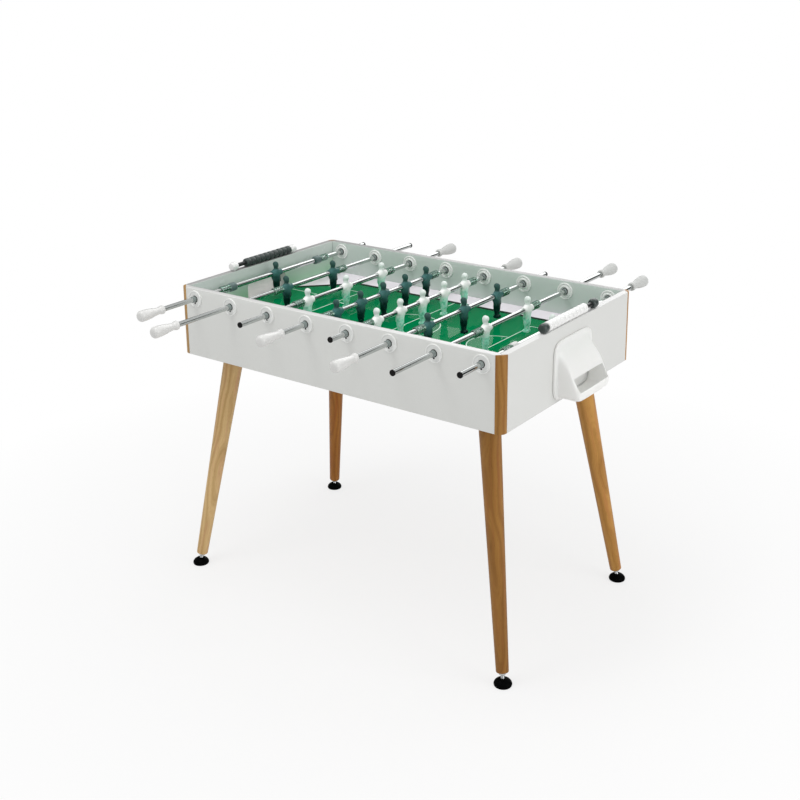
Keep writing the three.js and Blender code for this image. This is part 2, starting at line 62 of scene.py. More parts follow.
GAP = 0.0003  # left between two pieces that touch
PLAY = 0.0001  # between a rod and what it runs in
SLEEVE_PLAY = 0.0015  # between a bearing sleeve and its hole
SUNK = 0.055  # depth of a rod's seat in its handle
POST_LOW, POST_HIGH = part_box("corner_post_front_right")
END_X = POST_HIGH.x
SIDE_Y = -POST_LOW.y
BASE_Z = POST_LOW.z
TOP_Z = POST_HIGH.z
POST = POST_HIGH.x - POST_LOW.x
INNER_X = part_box("pitch_board")[1].x + GAP
INNER_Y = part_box("pitch_board")[1].y + GAP
PANEL_T = SIDE_Y - INNER_Y
FIELD_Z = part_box("pitch_glass")[1].z
GLASS_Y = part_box("pitch_glass")[1].y
HUB_IN = -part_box("front_side_panel")[1].y
HUB_OUT = -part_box("front_side_panel")[0].y
CORNERS = {"front_right": (1, -1), "back_right": (1, 1), "back_left": (-1, 1), "front_left": (-1, -1)}
SIDES = {"front": -1, "back": 1}
MEN = (1, 2, 3, 5, 5, 3, 2, 1)
TEAMS = ("dark", "dark", "white", "dark", "white", "dark", "white", "white")


class Rod:
    """Where one rod lies and what it carries."""

    def __init__(self, number):
        low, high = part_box(f"handle_{number}")
        self.number = number
        self.men = MEN[number - 1]
        self.team = TEAMS[number - 1]
        self.side = -1 if high.y < 0 else 1  # the side of its handle
        self.x = (low.x + high.x) / 2
        self.z = (low.z + high.z) / 2
        self.grip = min(abs(low.y), abs(high.y))
        self.grip_end = max(abs(low.y), abs(high.y))
        rod_low, rod_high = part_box(f"rod_{number}")
        self.free = rod_high.y if self.side < 0 else -rod_low.y
        spring_low, spring_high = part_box(f"spring_{number}_back")
        self.spring_in = spring_low.y
        self.spring_out = spring_high.y
        self.body = f"player_rod_{number}"

    def axis(self, side):
        """Lays local Z along the rod, towards one side of the table."""
        return along((0, side, 0), (self.x, 0, self.z))

    def places(self, half_width):
        """The Y of each player."""
        if self.men == 1:
            return [0.0]
        outer = self.spring_in - GAP - half_width
        return [outer * (2 * i / (self.men - 1) - 1) for i in range(self.men)]


RODS = [Rod(number) for number in range(1, len(MEN) + 1)]

# ---------------------------------------------------------------- settings


def size(name, about, metres):
    limits = {"unit": "LENGTH", "subtype": "DISTANCE", "precision": 4, "min": 0.0}
    return FloatProperty(name=name, description=about, default=metres, **limits)


def colour(name, about, tint):
    limits = {"subtype": "COLOR", "size": 3, "min": 0.0, "max": 1.0}
    return FloatVectorProperty(name=name, description=about, default=tint, **limits)


def number(name, about, value, **limits):
    return FloatProperty(name=name, description=about, default=value, **limits)


class CabinetSettings(bpy.types.PropertyGroup):
    """The boards, the corner strips and the rod bushings."""

    laminate: colour("Laminate", "Face of the boards", (0.765, 0.775, 0.75))
    # Painted light: every top face is painted darker as shade against the light from above, and those of the
    # front and right boards lighter again as a painted highlight.
    board_top: colour("Edge band", "Upper edges of the boards", (0.4, 0.4, 0.395))
    board_top_near: colour("Edge band, front and right", "The same, painted_lighter", (0.72, 0.72, 0.71))
    # The end boards' laminate is painted darker than the sides' as shade against the lamp on the right.
    laminate_end: colour("Laminate, ends", "Face of the end boards", (0.695, 0.7, 0.68))
    # Painted light and shade: the inner faces are darker and greener as painted shade and green light from
    # the field, and greener still on the end boards just over the field.
    inside: colour("Inside", "Inner face of the boards", (0.56, 0.64, 0.595))
    inside_painted_bounce: colour("Inside, low", "End boards beside the field", (0.36, 0.66, 0.43))
    strip_wood: colour("Strips' beech", "Corner strips", (0.5, 0.26, 0.07))
    grain: colour("Late wood", "Share of the beech's colours in its dark lines", (0.45, 0.36, 0.22))
    streak: colour("Warm streaks", "Share of the beech's colours there", (0.72, 0.52, 0.6))
    board_edge: size("Board edge", "Softening of the boards' edges", 0.0012)
    post_round: size("Strip round", "Radius of a corner strip's outer edge", 0.0195)
    goal_width: size("Goal width", "Width of a goal mouth", 0.17)
    goal_height: size("Goal height", "Height of a goal mouth", 0.056)
    goal_round: size("Goal round", "Radius of a goal mouth's upper corners", 0.014)
    bush_radius: size("Bushing radius", "Outside of a bushing's flange", 0.024)
    bush_flange: size("Flange", "Height of a flange's rim over the board", 0.004)
    bush_floor: size("Flange floor", "Height of a flange's recessed face", 0.0022)
    bush_rim: size("Rim", "Width of a flange's raised rim", 0.003)
    sleeve_radius: size("Sleeve radius", "Outside of the bearing sleeve", 0.0085)
    bushing: colour("Bushing", "Flange plastic", (0.86, 0.87, 0.85))
    # The dark ring round each sleeve and the dark block in each flange's slot are painted shade: they stand
    # for the gap round the sleeve and the slot's depth.
    seal: colour("Seal", "Dark ring at a sleeve's root", (0.004, 0.005, 0.005))
    sleeve: colour("Sleeve", "Bearing sleeve plastic", (0.23, 0.27, 0.26))


class FieldSettings(bpy.types.PropertyGroup):
    """The playing field and its borders."""

    green: colour("Field green", "Ground of the printed field", (0.0, 0.235, 0.086))
    line: colour("Lines", "Field markings", (0.88, 1.0, 0.96))
    border: colour("Border", "Raised border strips", (1.0, 0.93, 1.0))
    board: colour("Board", "Board under the glass", (0.42, 0.3, 0.17))
    mirror: number("Mirror", "Share of the glass's reflection that shows", 0.27, min=0)
    line_width: size("Line width", "Width of the field markings", 0.0032)
    circle: size("Centre circle", "Its radius", 0.105)
    box_x: size("Penalty box line", "From the middle of the field", 0.302)
    box_y: size("Penalty box half width", "Half of its width", 0.194)
    arc: size("Penalty arc", "Its radius, about the middle of the box line", 0.075)
    goal_x: size("Goal area line", "From the middle of the field", 0.405)
    goal_y: size("Goal area half width", "Half of its width", 0.103)


class RodSettings(bpy.types.PropertyGroup):
    """The rods with their springs, collars and handles."""

    radius: size("Rod radius", "Outside of the steel tube", 0.007)
    chrome: colour("Chrome", "Plated tube", (0.6, 0.625, 0.615))
    plug: colour("Plug", "Cap on a rod's free end", (0.003, 0.003, 0.003))
    plug_length: size("Plug length", "Cap on a rod's free end", 0.0045)
    spring: colour("Spring", "Blued spring steel", (0.24, 0.4, 0.37))
    wire: size("Wire radius", "Half of the spring wire's thickness", 0.0013)
    coil: size("Coil radius", "Middle of the spring wire from the axis", 0.0098)
    turns: IntProperty(name="Turns", description="Open turns of a spring", default=4, min=2, max=12)
    collar_radius: size("Collar radius", "Goalkeeper rod's sleeve", 0.0125)
    collar_length: size("Collar length", "Goalkeeper rod's sleeve", 0.026)
    collar: colour("Dark collar", "Dark team's goalkeeper collars", (0.09, 0.145, 0.14))
    grip: size("Grip radius", "Thickest part of the dark team's handles", 0.016)
    grip_white: size("White team's grip radius", "The same for the white team", 0.0175)
    # The white team's handles, at the back, are painted greyer than the dark team's as shade.
    handle_far_painted_shade: colour("White team's handle", "Its plastic", (0.56, 0.57, 0.555))
    handle: colour("Handle", "Handle plastic", (0.72, 0.72, 0.705))


class PlayerSettings(bpy.types.PropertyGroup):
    """The moulded players."""

    reach: size("Reach", "Rod axis to the soles", 0.066)
    half_width: size("Half width", "Half of the shoulders", 0.021)
    grain: size("Mould fineness", "Size of the mesh that forms a player", 0.0009)
    # Each team's plastic has one colour for the heads, one above the rod and one below it, blended by
    # height. The white team's plastic is white: its greener kit below the rod and its deep green patches are
    # painted green light from the field, and its shirt is painted brighter than its heads as a highlight.
    # The dark team's kit below the rod is partly the plastic's colour and partly painted green light from
    # the field; its heads are darker than its shirts.
    dark_top: colour("Dark shirt", "Dark team above the rod", (0.053, 0.155, 0.148))
    dark_head: colour("Dark head", "Dark team's heads", (0.035, 0.092, 0.081))
    dark_low: colour("Dark kit", "Dark team below the rod", (0.0, 0.022, 0.017))
    white_top: colour("White shirt", "White team above the rod", (0.97, 0.98, 0.96))
    white_head: colour("White head", "White team's heads", (0.8, 0.87, 0.83))
    white_low: colour("White kit", "White team below the rod", (0.38, 0.93, 0.72))
    white_painted_field_green: colour("White kit, thin", "Where the white kit lets the field through", (0.12, 0.54, 0.33))


class ScorerSettings(bpy.types.PropertyGroup):
    """The bead counters on the end boards."""

    bar_radius: size("Bar radius", "Bar that carries the beads", 0.006)
    bead_round: size("Bead edge", "Rounding of a bead's edges", 0.0046)
    beads: IntProperty(name="Beads", description="Beads on a counter", default=10, min=1)
    knob_length: size("Knob length", "End knobs", 0.024)
    white: colour("White", "White beads and knobs", (0.86, 0.86, 0.85))
    dark: colour("Dark", "Dark beads and knobs", (0.035, 0.048, 0.045))
    bar: colour("Bar", "Bar", (0.012, 0.014, 0.014))


class CupSettings(bpy.types.PropertyGroup):
    """The moulded ball cups."""

    plastic: colour("Cup", "Cup plastic", (1.0, 1.0, 0.98))
    wall: size("Wall", "Thickness of the shell", 0.003)
    see_through: number("Translucency", "Light that the wall lets through", 0.3)


class LegSettings(bpy.types.PropertyGroup):
    """The legs and their levelling feet."""

    top_radius: size("Top radius", "Leg at the cabinet", 0.0305)
    end_radius: size("End radius", "Leg at its lower end", 0.0165)
    end_z: size("End height", "Lower end over the floor", 0.034)
    chamfer: size("Chamfer", "Edge of the lower end", 0.003)
    lean_x: number("Lean along", "Lean along the table per height", 0.154)
    lean_y: number("Lean across", "Lean across the table per height", 0.13)
    pad_radius: size("Pad radius", "Foot pad", 0.024)
    pad_height: size("Pad height", "Foot pad", 0.019)
    stem_radius: size("Stem radius", "Threaded stem", 0.005)
    nut_radius: size("Nut radius", "Lock nut", 0.0095)
    # Each leg's beech has its own tone: partly the wood's own difference, partly painted light and shade for
    # how the light falls on that leg.
    front_right: colour("Front right leg", "Its beech", (0.405, 0.195, 0.04))
    back_right: colour("Back right leg", "Its beech", (0.65, 0.345, 0.09))
    back_left: colour("Back left leg", "Its beech", (0.44, 0.18, 0.03))
    front_left: colour("Front left leg", "Its beech", (0.84, 0.6, 0.295))
    pad: colour("Pad", "Pad plastic", (0.0015, 0.0018, 0.0018))
    steel: colour("Steel", "Stem and nut", (0.6, 0.62, 0.63))


class StageSettings(bpy.types.PropertyGroup):
    """The camera, the lamps and the floor."""

    camera: FloatVectorProperty(
        name="Camera",
        description="Place of the camera",
        default=(1.89103, -2.57069, 1.79492),
        subtype="XYZ",
        unit="LENGTH",
    )
    yaw: number("Yaw", "Turn from +Y", -0.63656, unit="ROTATION")
    pitch: number("Pitch", "Tilt below the horizon", 0.26909, unit="ROTATION")
    roll: number("Roll", "Turn about the view axis", -0.0106, unit="ROTATION")
    lens: number("Lens", "Focal length in millimetres", 53.41)
    shift: number("Shift", "Vertical lens shift", -0.155)
    sky: number("Sky", "Strength of the even light all round", 0.7, min=0)
    top_lamp: number("Top lamp", "Power of the lamp overhead", 25, unit="POWER", min=0)
    right_lamp: number("Right lamp", "Power of the lamp at the right", 25, unit="POWER", min=0)
    card: number("White card", "Strength of the card that gloss shows", 2.1, min=0)
    floor: colour("Floor", "Floor near the table", (0.86, 0.86, 0.86))
    lift: number("Lift", "How far the floor's shadow is lit up", 0.72, min=0, max=1)


SETTINGS = {
    "cabinet": CabinetSettings,
    "field": FieldSettings,
    "rods": RodSettings,
    "players": PlayerSettings,
    "scorers": ScorerSettings,
    "cups": CupSettings,
    "legs": LegSettings,
    "stage": StageSettings,
}


def settings(group):
    return getattr(bpy.context.scene, "foosball_" + group)


# ---------------------------------------------------------------- shader maths


class Flow:
    """A socket in a material's node tree. Arithmetic on it adds Math nodes."""

    def __init__(self, tree, socket=None):
        self.tree = tree
        self.socket = socket

    def node(self, kind, settings, inputs, output=0):
        """Adds a node: its settings first, then the values or links of its sockets."""
        made = self.tree.nodes.new(kind)
        for name, value in settings.items():
            if name == "stops":
                for stop, (position, tint) in zip(made.color_ramp.elements, value):
                    stop.position = position
                    stop.color = (*tint, 1)
            else:
                setattr(made, name, value)
        for name, value in inputs.items():
            if isinstance(value, Flow):
                self.tree.links.new(value.socket, made.inputs[name])
            else:
                made.inputs[name].default_value = value
        return Flow(self.tree, made.outputs[output])

    def maths(self, operation, *values):
        return self.node("ShaderNodeMath", {"operation": operation}, dict(enumerate(values)))

    def __add__(self, other):
        return self.maths("ADD", self, other)

    def __sub__(self, other):
        return self.maths("SUBTRACT", self, other)

    def __rsub__(self, other):
        return self.maths("SUBTRACT", other, self)

    def __mul__(self, other):
        return self.maths("MULTIPLY", self, other)

    def __pow__(self, other):
        return self.maths("POWER", self, other)

    def __abs__(self):
        return self.maths("ABSOLUTE", self)

    __radd__ = __add__
    __rmul__ = __mul__

    def wave(self):
        """Swings between 0 and 1, once for every 2 pi."""
        return self.maths("SINE", self) * 0.5 + 0.5

    def clamped(self):
        return self.node("ShaderNodeClamp", {}, {"Value": self})

    def most(self, other):
        return self.maths("MAXIMUM", self, other)

    def least(self, other):
        return self.maths("MINIMUM", self, other)

    def split(self):
        """The three numbers of a vector."""
        apart = self.node("ShaderNodeSeparateXYZ", {}, {"Vector": self})
        return [Flow(self.tree, socket) for socket in apart.socket.node.outputs]

    def tint(self, first, second):
        """From the first colour to the second as this value goes from 0 to 1."""
        pair = [value if isinstance(value, Flow) else (*value, 1) for value in (first, second)]
        return self.node("ShaderNodeMix", {"data_type": "RGBA"}, {0: self, 6: pair[0], 7: pair[1]}, output=2)

    def mapped(self, scale=(1, 1, 1), turn=(0, 0, 0), shift=(0, 0, 0)):
        values = {"Vector": self, "Scale": scale, "Rotation": turn, "Location": shift}
        return self.node("ShaderNodeMapping", {}, values)

    def noise(self, scale, detail=2.0, roughness=0.5):
        """Noise from 0 to 1 over this place, in features of about 1 / scale metres."""
        values = {"Vector": self, "Scale": scale, "Detail": detail, "Roughness": roughness}
        return self.node("ShaderNodeTexNoise", {}, values)

    def stretched(self, low, high):
        """0 below low, 1 above high, and a straight slope between."""
        return ((self - low) * (1 / (high - low))).clamped()


class Finish:
    """A material in the making: a Principled surface whose place is the object's own coordinates."""

    def __init__(self, name, **constants):
        self.material = bpy.data.materials.new(name)
        self.material.use_nodes = True
        tree = self.material.node_tree
        self.surface = tree.nodes["Principled BSDF"]
        self.flow = Flow(tree)
        for socket, value in constants.items():
            self.surface.inputs[socket.replace("_", " ")].default_value = value
        self.place = self.flow.node("ShaderNodeTexCoord", {}, {}, output="Object")

    def link(self, socket, value):
        self.flow.tree.links.new(value.socket, self.surface.inputs[socket])

    def cover(self, shade, rough, height, depth, strength=1.0):
        """Sets colour, roughness and a relief of up to depth metres, and gives the material."""
        relief = {"Strength": strength, "Distance": depth, "Height": height}
        self.link("Base Color", shade)
        self.link("Roughness", rough)
        self.link("Normal", self.flow.node("ShaderNodeBump", {}, relief))
        return self.material


def show(tree, share, first, second):
    """Makes the first shader a material's surface, with a share of the second."""
    both = Flow(tree).node("ShaderNodeMixShader", {}, {0: share, 1: first, 2: second})
    tree.links.new(both.socket, tree.nodes["Material Output"].inputs["Surface"])


def moulded(name, tint, rough=0.3, peel=0.00003, **constants):
    """Moulded plastic: faint clouds in the colour, orange-peel and a gloss that varies."""
    finish = Finish(name, **constants)
    mottle = 0.04  # how far the clouds stray from the colour
    dark = [c * (1 - mottle) for c in tint]
    light = [min(1, c * (1 + mottle)) for c in tint]
    gloss = finish.place.noise(60, 4, 0.6) * 0.16 + (rough - 0.08)
    return finish.cover(finish.place.noise(28, 3).tint(dark, light), gloss, finish.place.noise(700, 2), peel)


def let_through(material, tint, share):
    """Lets a share of the light through a thin wall."""
    tree = material.node_tree
    through = Flow(tree).node("ShaderNodeBsdfTranslucent", {}, {"Color": (*tint, 1)})
    show(tree, share, Flow(tree, tree.nodes["Principled BSDF"].outputs[0]), through)


def laminate(name, tint):
    """Melamine-faced board: a pearl texture under a satin skin with faint clouding, with painted shade and
    painted green field light on the inner faces and a painted band of light and shade on the top faces.
    """
    cabinet = settings("cabinet")
    finish = Finish(name)
    dark = [c * 0.955 for c in tint]
    clouds = finish.place.noise(5, 4, 0.6)
    specks = finish.place.noise(420, 1).stretched(0.62, 0.75)
    x, y, z = finish.place.split()
    depth = (END_X - abs(x)).least(SIDE_Y - abs(y))
    edge = (z - TOP_Z).stretched(-0.0004, -0.0001)
    # The inner faces below the top get painted shade and painted green light from the field.
    inside = depth.stretched(PANEL_T * 0.9, PANEL_T * 0.95) * (z - FIELD_Z).stretched(-0.006, -0.005)
    skin = (clouds * 0.8 + specks * 0.25).clamped().tint(tint, dark)
    # Painted green bounce light from the field on the end boards' inner faces just over it.
    low = (FIELD_Z + 0.07 - z).stretched(0.0, 0.05) * (abs(x) - INNER_X).stretched(-0.001, 0)
    inner = low.tint(cabinet.inside, cabinet.inside_painted_bounce)
    skin_and_painted_inside = (inside * 0.8).tint(skin, inner)
    # Painted light on the top faces: lighter on the front and right boards as a highlight, darker elsewhere
    # as shade.
    near = (x - INNER_X).stretched(0.0, 0.005).most((-1 * y - INNER_Y).stretched(0.0, 0.005))
    band = near.tint(cabinet.board_top, cabinet.board_top_near)
    gloss = finish.place.noise(24, 3) * 0.14 + 0.34 - inside * 0.16
    pearl = finish.place.noise(950, 3, 0.6)
    return finish.cover(edge.tint(skin_and_painted_inside, band), gloss, pearl, 0.00004, 0.7)


def beech(name, light, turn=(0, 0, 0), shift=(0, 0, 0)):
    """Lacquered beech: growth rings, warm streaks, fine pores and short dark flecks, all along local Z."""
    grain = settings("cabinet").grain
    warm = settings("cabinet").streak
    finish = Finish(name, Coat_Weight=0.05, Coat_Roughness=0.3, Specular_IOR_Level=0.22)
    place = finish.place.mapped(turn=turn, shift=shift)
    sway = place.mapped(scale=(8, 8, 2.6)).noise(1.0, 3)
    along_x, along_y, _ = place.split()
    across = ((along_x + 0.05) ** 2 + (along_y * 0.8 + 0.03) ** 2) ** 0.5 + sway * 0.07
    wide = (across * 480).wave() ** 1.5
    fine = (across * 2300).wave()
    fibre = place.mapped(scale=(1500, 1500, 26)).noise(1.0, 3, 0.6)
    flecks = place.mapped(scale=(620, 620, 90)).noise(1.0, 1).stretched(0.64, 0.72)
    clouds = place.mapped(scale=(16, 16, 2.5)).noise(1.0, 2)
    streaks = place.mapped(scale=(110, 110, 7)).noise(1.0, 3).stretched(0.5, 0.7)
    shade = (wide * 0.3 + fine * 0.1 + fibre * 0.22 + flecks * 0.25 + clouds * 0.7 - 0.12).clamped()
    dark = [c * share for c, share in zip(light, grain)]
    red = [c * share for c, share in zip(light, warm)]
    wood = (streaks * 0.55).tint(shade.tint(light, dark), red)
    return finish.cover(wood, fibre * 0.2 + 0.32, 1 - (fibre * 0.6 + flecks * 0.4), 0.00006, 0.8)


def clear_pane():
    """Clear polished glass with faint smears: see-through, with a mirror that grows at low angles."""
    field = settings("field")
    finish = Finish("pitch glass", Metallic=1.0)
    tree = finish.flow.tree
    smears = finish.place.noise(14, 4, 0.6)
    shade = smears.tint((1, 1, 1), (0.93, 0.95, 0.94))
    finish.cover(shade, smears.stretched(0.4, 0.8) * 0.04 + 0.01, finish.place.noise(3, 2), 0.00004)
    facing = finish.flow.node("ShaderNodeFresnel", {}, {"IOR": 1.45})
    front = 1 - finish.flow.node("ShaderNodeNewGeometry", {}, {}, output="Backfacing")
    clear = finish.flow.node("ShaderNodeBsdfTransparent", {}, {"Color": (0.96, 0.99, 0.97, 1)})
    show(tree, facing * front * field.mirror, clear, Flow(tree, finish.surface.outputs[0]))
    return finish.material


def printed_field():
    """Green sheet under the glass, with the pitch's white markings."""
    field = settings("field")
    finish = Finish("field print", Specular_IOR_Level=0.0)
    x, y, _ = finish.place.split()
    ax = abs(x)
    ay = abs(y)
    half = field.line_width / 2
    crisp = 1 / 0.0004

    def line(distance):
        """1 on the line where distance is 0."""
        return ((half - abs(distance)) * crisp).clamped()

    def inside(value, limit):
        """1 where value stays under limit."""
        return ((limit + half - value) * crisp).clamped()

    def outside(value, limit):
        return ((value - limit + half) * crisp).clamped()

    circle = line((x ** 2 + y ** 2) ** 0.5 - field.circle)
    spot = inside((x ** 2 + y ** 2) ** 0.5, 0.004)
    arc = line(((ax - field.box_x) ** 2 + y ** 2) ** 0.5 - field.arc) * inside(ax, field.box_x)
    marks = line(x).most(circle).most(spot).most(arc)
    for edge_x, edge_y in ((field.box_x, field.box_y), (field.goal_x, field.goal_y)):
        marks = marks.most(line(ax - edge_x) * inside(ay, edge_y))
        marks = marks.most(line(ay - edge_y) * outside(ax, edge_x))
    grain = finish.place.noise(900, 2)
    clouds = finish.place.noise(7, 3)
    dark = [c * 0.86 for c in field.green]
    ground = (clouds * 0.8 + grain * 0.2).clamped().tint(dark, [c * 1.1 for c in field.green])
    # Painted shadow: the print is darkened along the glass's long edges, under the borders.
    painted_edge_shadow = (ay - (GLASS_Y - 0.003)).stretched(0, 0.001)
    ground = (painted_edge_shadow * 0.75).tint(ground, [c * 0.12 for c in field.green])
    return finish.cover(marks.tint(ground, field.line), grain * 0.1 + 0.6, grain, 0.00001)


def border_plastic():
    """Glossy lilac-white plastic, with painted shade where it goes down beside the glass."""
    tint = settings("field").border
    finish = Finish("border plastic", Coat_Weight=0.15)
    clouds = finish.place.noise(28, 3)
    # Painted shade on the faces below the field's top, beside the glass.
    below = (FIELD_Z - finish.place.split()[2]).stretched(0.0, 0.0004)
    shade = clouds.tint(tint, [c * 0.95 for c in tint])
    whole = below.tint(shade, (0.01, 0.03, 0.02))
    return finish.cover(whole, clouds * 0.12 + 0.16, finish.place.noise(700, 2), 0.00002)


def chrome(name, tint):
    """Bright plated tube with fine drawing lines along it and a little haze."""
    finish = Finish(name, Metallic=1.0)
    drawn = finish.place.mapped(scale=(300, 4, 300)).noise(1.0, 2)
    haze = finish.place.noise(22, 3)
    gloss = drawn * 0.03 + haze.stretched(0.45, 0.8) * 0.05 + 0.05
    return finish.cover(haze.tint(tint, [c * 0.93 for c in tint]), gloss, haze, 0.000002)


def blued_steel():
    rods = settings("rods")
    finish = Finish("blued steel", Metallic=1.0)
    temper = finish.place.noise(90, 3)
    grime = finish.place.noise(500, 2).stretched(0.5, 0.75)
    warm = [rods.spring[0] * 1.25, rods.spring[1] * 1.05, rods.spring[2] * 0.85]
    shade = (grime * 0.5).tint(temper.tint(rods.spring, warm), (0.05, 0.06, 0.07))
    return finish.cover(shade, temper * 0.14 + 0.1, finish.place.noise(1400, 2), 0.00001)


def fibreboard():
    tint = settings("field").board
    finish = Finish("fibreboard")
    fibre = finish.place.mapped(scale=(90, 240, 240)).noise(1.0, 5, 0.7)
    chips = finish.place.noise(160, 4, 0.7)
    share = (fibre * 0.6 + chips * 0.5).clamped()
    shade = share.tint([c * 0.55 for c in tint], [c * 1.3 for c in tint])
    return finish.cover(shade, fibre * 0.2 + 0.6, chips, 0.00015)


def kit(team):
    """A player's plastic: shirt colour above the rod, kit colour below, with a soft change between; the
    kit's green below the rod is partly painted green light from the field, and on the white team wholly so.
    """
    players = settings("players")
    top, skin, low = (getattr(players, f"{team}_{part}") for part in ("top", "head", "low"))
    finish = Finish(team + " player plastic", Coat_Weight=0.03, Coat_Roughness=0.2, Specular_IOR_Level=0.14)
    height = finish.place.split()[2]
    drift = finish.place.noise(70, 3)
    change = RODS[0].z - 0.012
    low_share = (change - height + (drift - 0.5) * 0.02).stretched(-0.008, 0.014)
    head = (height - RODS[0].z).stretched(0.011, 0.014)
    shade = low_share.tint(head.tint(top, skin), low)
    # The patches follow noise, not the figure's relief: on the white kit the light ones are painted
    # highlights and the green ones painted green light from the field; on the dark kit the light ones bring
    # in a little of the shirt colour.
    patches = finish.place.noise(130, 3)
    raised = patches.stretched(0.5, 0.68) * low_share
    painted_green_patches = (1 - patches).stretched(0.52, 0.7) * low_share
    if team == "dark":
        shade = (raised * 0.15).tint(shade, players.dark_top)
    else:
        shade = (painted_green_patches * 0.8).tint((raised * 0.7).tint(shade, top), players.white_painted_field_green)
    return finish.cover(shade, drift * 0.18 + 0.2, finish.place.noise(900, 2), 0.00002)


def dusty_rubber(name, tint):
    finish = Finish(name, Specular_IOR_Level=0.015)
    dust = finish.place.noise(180, 5, 0.7).stretched(0.5, 0.9)
    shade = (dust * 0.1).tint(tint, (0.02, 0.02, 0.019))
    return finish.cover(shade, dust * 0.25 + 0.42, finish.place.noise(1200, 3), 0.00004)


# ---------------------------------------------------------------- modelling

ROUND_STEPS = 4  # segments in a rounded corner of an outline
TURN_STEPS = 48


def chain(bm, corners, upright, closed):
    """Edges through (a, b, rounding) corners, in the XZ plane if upright and in XY if not."""
    verts = [bm.verts.new((a, 0, b) if upright else (a, b, 0)) for a, b, _ in corners]
    for one, other in zip(verts, verts[1:] + verts[:1] if closed else verts[1:]):
        bm.edges.new((one, other))
    for vert, (_, _, rounding) in zip(verts, corners):
        if rounding:
            bevel(bm, [vert], rounding, ROUND_STEPS, "VERTICES")


def bevel(bm, geom, offset, segments, affect="EDGES"):
    bmesh.ops.bevel(
        bm,
        geom=geom,
        offset=offset,
        offset_type="OFFSET",
        affect=affect,
        segments=segments,
        profile=0.5,
        clamp_overlap=True,
        material=-1,
    )


def soften(bm, width, segments=2, limit=50):
    """Bevels every edge that turns by more than limit degrees."""
    sharp = [e for e in bm.edges if len(e.link_faces) == 2 and e.calc_face_angle() > math.radians(limit)]
    bevel(bm, sharp, width, segments)


def turned(corners, turn_steps=TURN_STEPS, closed=False):
    """A solid turned about Z from (radius, height, rounding) corners."""
    bm = bmesh.new()
    chain(bm, corners, upright=True, closed=closed)
    bmesh.ops.spin(
        bm,
        geom=bm.verts[:] + bm.edges[:],
        cent=(0, 0, 0),
        axis=(0, 0, 1),
        dvec=(0, 0, 0),
        angle=2 * math.pi,
        steps=turn_steps,
        use_merge=True,
    )
    bmesh.ops.remove_doubles(bm, verts=bm.verts[:], dist=1e-6)
    bmesh.ops.recalc_face_normals(bm, faces=bm.faces[:])
    return bm


def prism(corners, depth):
    """A closed outline of (x, y, rounding) corners, raised along Z by depth."""
    bm = bmesh.new()
    chain(bm, corners, upright=False, closed=True)
    bmesh.ops.contextual_create(bm, geom=bm.edges[:])
    raised = bmesh.ops.extrude_face_region(bm, geom=bm.faces[:])
    tops = [v for v in raised["geom"] if isinstance(v, bmesh.types.BMVert)]
    bmesh.ops.translate(bm, vec=(0, 0, depth), verts=tops)
    bmesh.ops.recalc_face_normals(bm, faces=bm.faces[:])
    return bm


def cuboid(low, high):
    bm = bmesh.new()
    low, high = Vector(low), Vector(high)
    bmesh.ops.create_cube(bm, size=1)
    bmesh.ops.scale(bm, vec=high - low, verts=bm.verts[:])
    bmesh.ops.translate(bm, vec=(low + high) / 2, verts=bm.verts[:])
    return bm


def moved(bm, matrix):
    bmesh.ops.transform(bm, matrix=matrix, verts=bm.verts[:])
    if matrix.determinant() < 0:
        bmesh.ops.recalc_face_normals(bm, faces=bm.faces[:])
    return bm


def along(direction, place=(0, 0, 0)):
    """The turn that points local Z along direction, followed by the move to place."""
    turn = Vector(direction).to_track_quat("Z", "Y").to_matrix().to_4x4()
    return Matrix.Translation(place) @ turn


def add(whole, shape):
    """Moves a shape into another."""
    mesh = bpy.data.meshes.new("part")
    shape.to_mesh(mesh)
    shape.free()
    whole.from_mesh(mesh)
    bpy.data.meshes.remove(mesh)


def gathered(shapes):
    """Several shapes in one."""
    whole = bmesh.new()
    for shape in shapes:
        add(whole, shape)
    return whole


def thing(name, bm, smooth=40):
    """A linked object of a shape, smooth but for edges that turn by more than smooth degrees."""
    mesh = bpy.data.meshes.new(name)
    bm.to_mesh(mesh)
    bm.free()
    return thing_of(name, mesh, smooth)


def thing_of(name, mesh, smooth=40):
    mesh.shade_smooth()
    mesh.set_sharp_from_angle(angle=math.radians(smooth))
    made = bpy.data.objects.new(name, mesh)
    bpy.context.scene.collection.objects.link(made)
    return made


def settle(piece):
    """Puts what a piece's modifiers make into its mesh and removes them."""
    graph = bpy.context.evaluated_depsgraph_get()
    mesh = bpy.data.meshes.new_from_object(piece.evaluated_get(graph))
    piece.modifiers.clear()
    piece.data = mesh
    return piece


def pierce(piece, cutter):
    """Cuts a shape out of a piece."""
    tool = thing("cutter", cutter)
    modifier = piece.modifiers.new("cut", "BOOLEAN")
    modifier.operation = "DIFFERENCE"
    modifier.solver = "EXACT"
    modifier.object = tool
    settle(piece)
    bpy.data.objects.remove(tool)
    piece.data.shade_smooth()
    piece.data.set_sharp_from_angle(angle=math.radians(40))
    return piece


def place(piece, body, slot, material, replaces=()):
    """Gives a piece its finish and body, and hides the nodes of the frame that it stands for."""
    piece.data.materials.clear()
    piece.data.materials.append(material)
    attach(piece, body)
    if replaces:
        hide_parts(*replaces)
    return piece


def coat(node, material):
    """Gives a node of the frame its finish."""
    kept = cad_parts[node]
    kept.data.materials.clear()
    kept.data.materials.append(material)


class Maker:
    """What the operators share: they act on the scene as it is, and take no input."""

    bl_options = {"REGISTER", "UNDO"}

    def execute(self, context):
        self.make()
        return {"FINISHED"}


# ---------------------------------------------------------------- cabinet


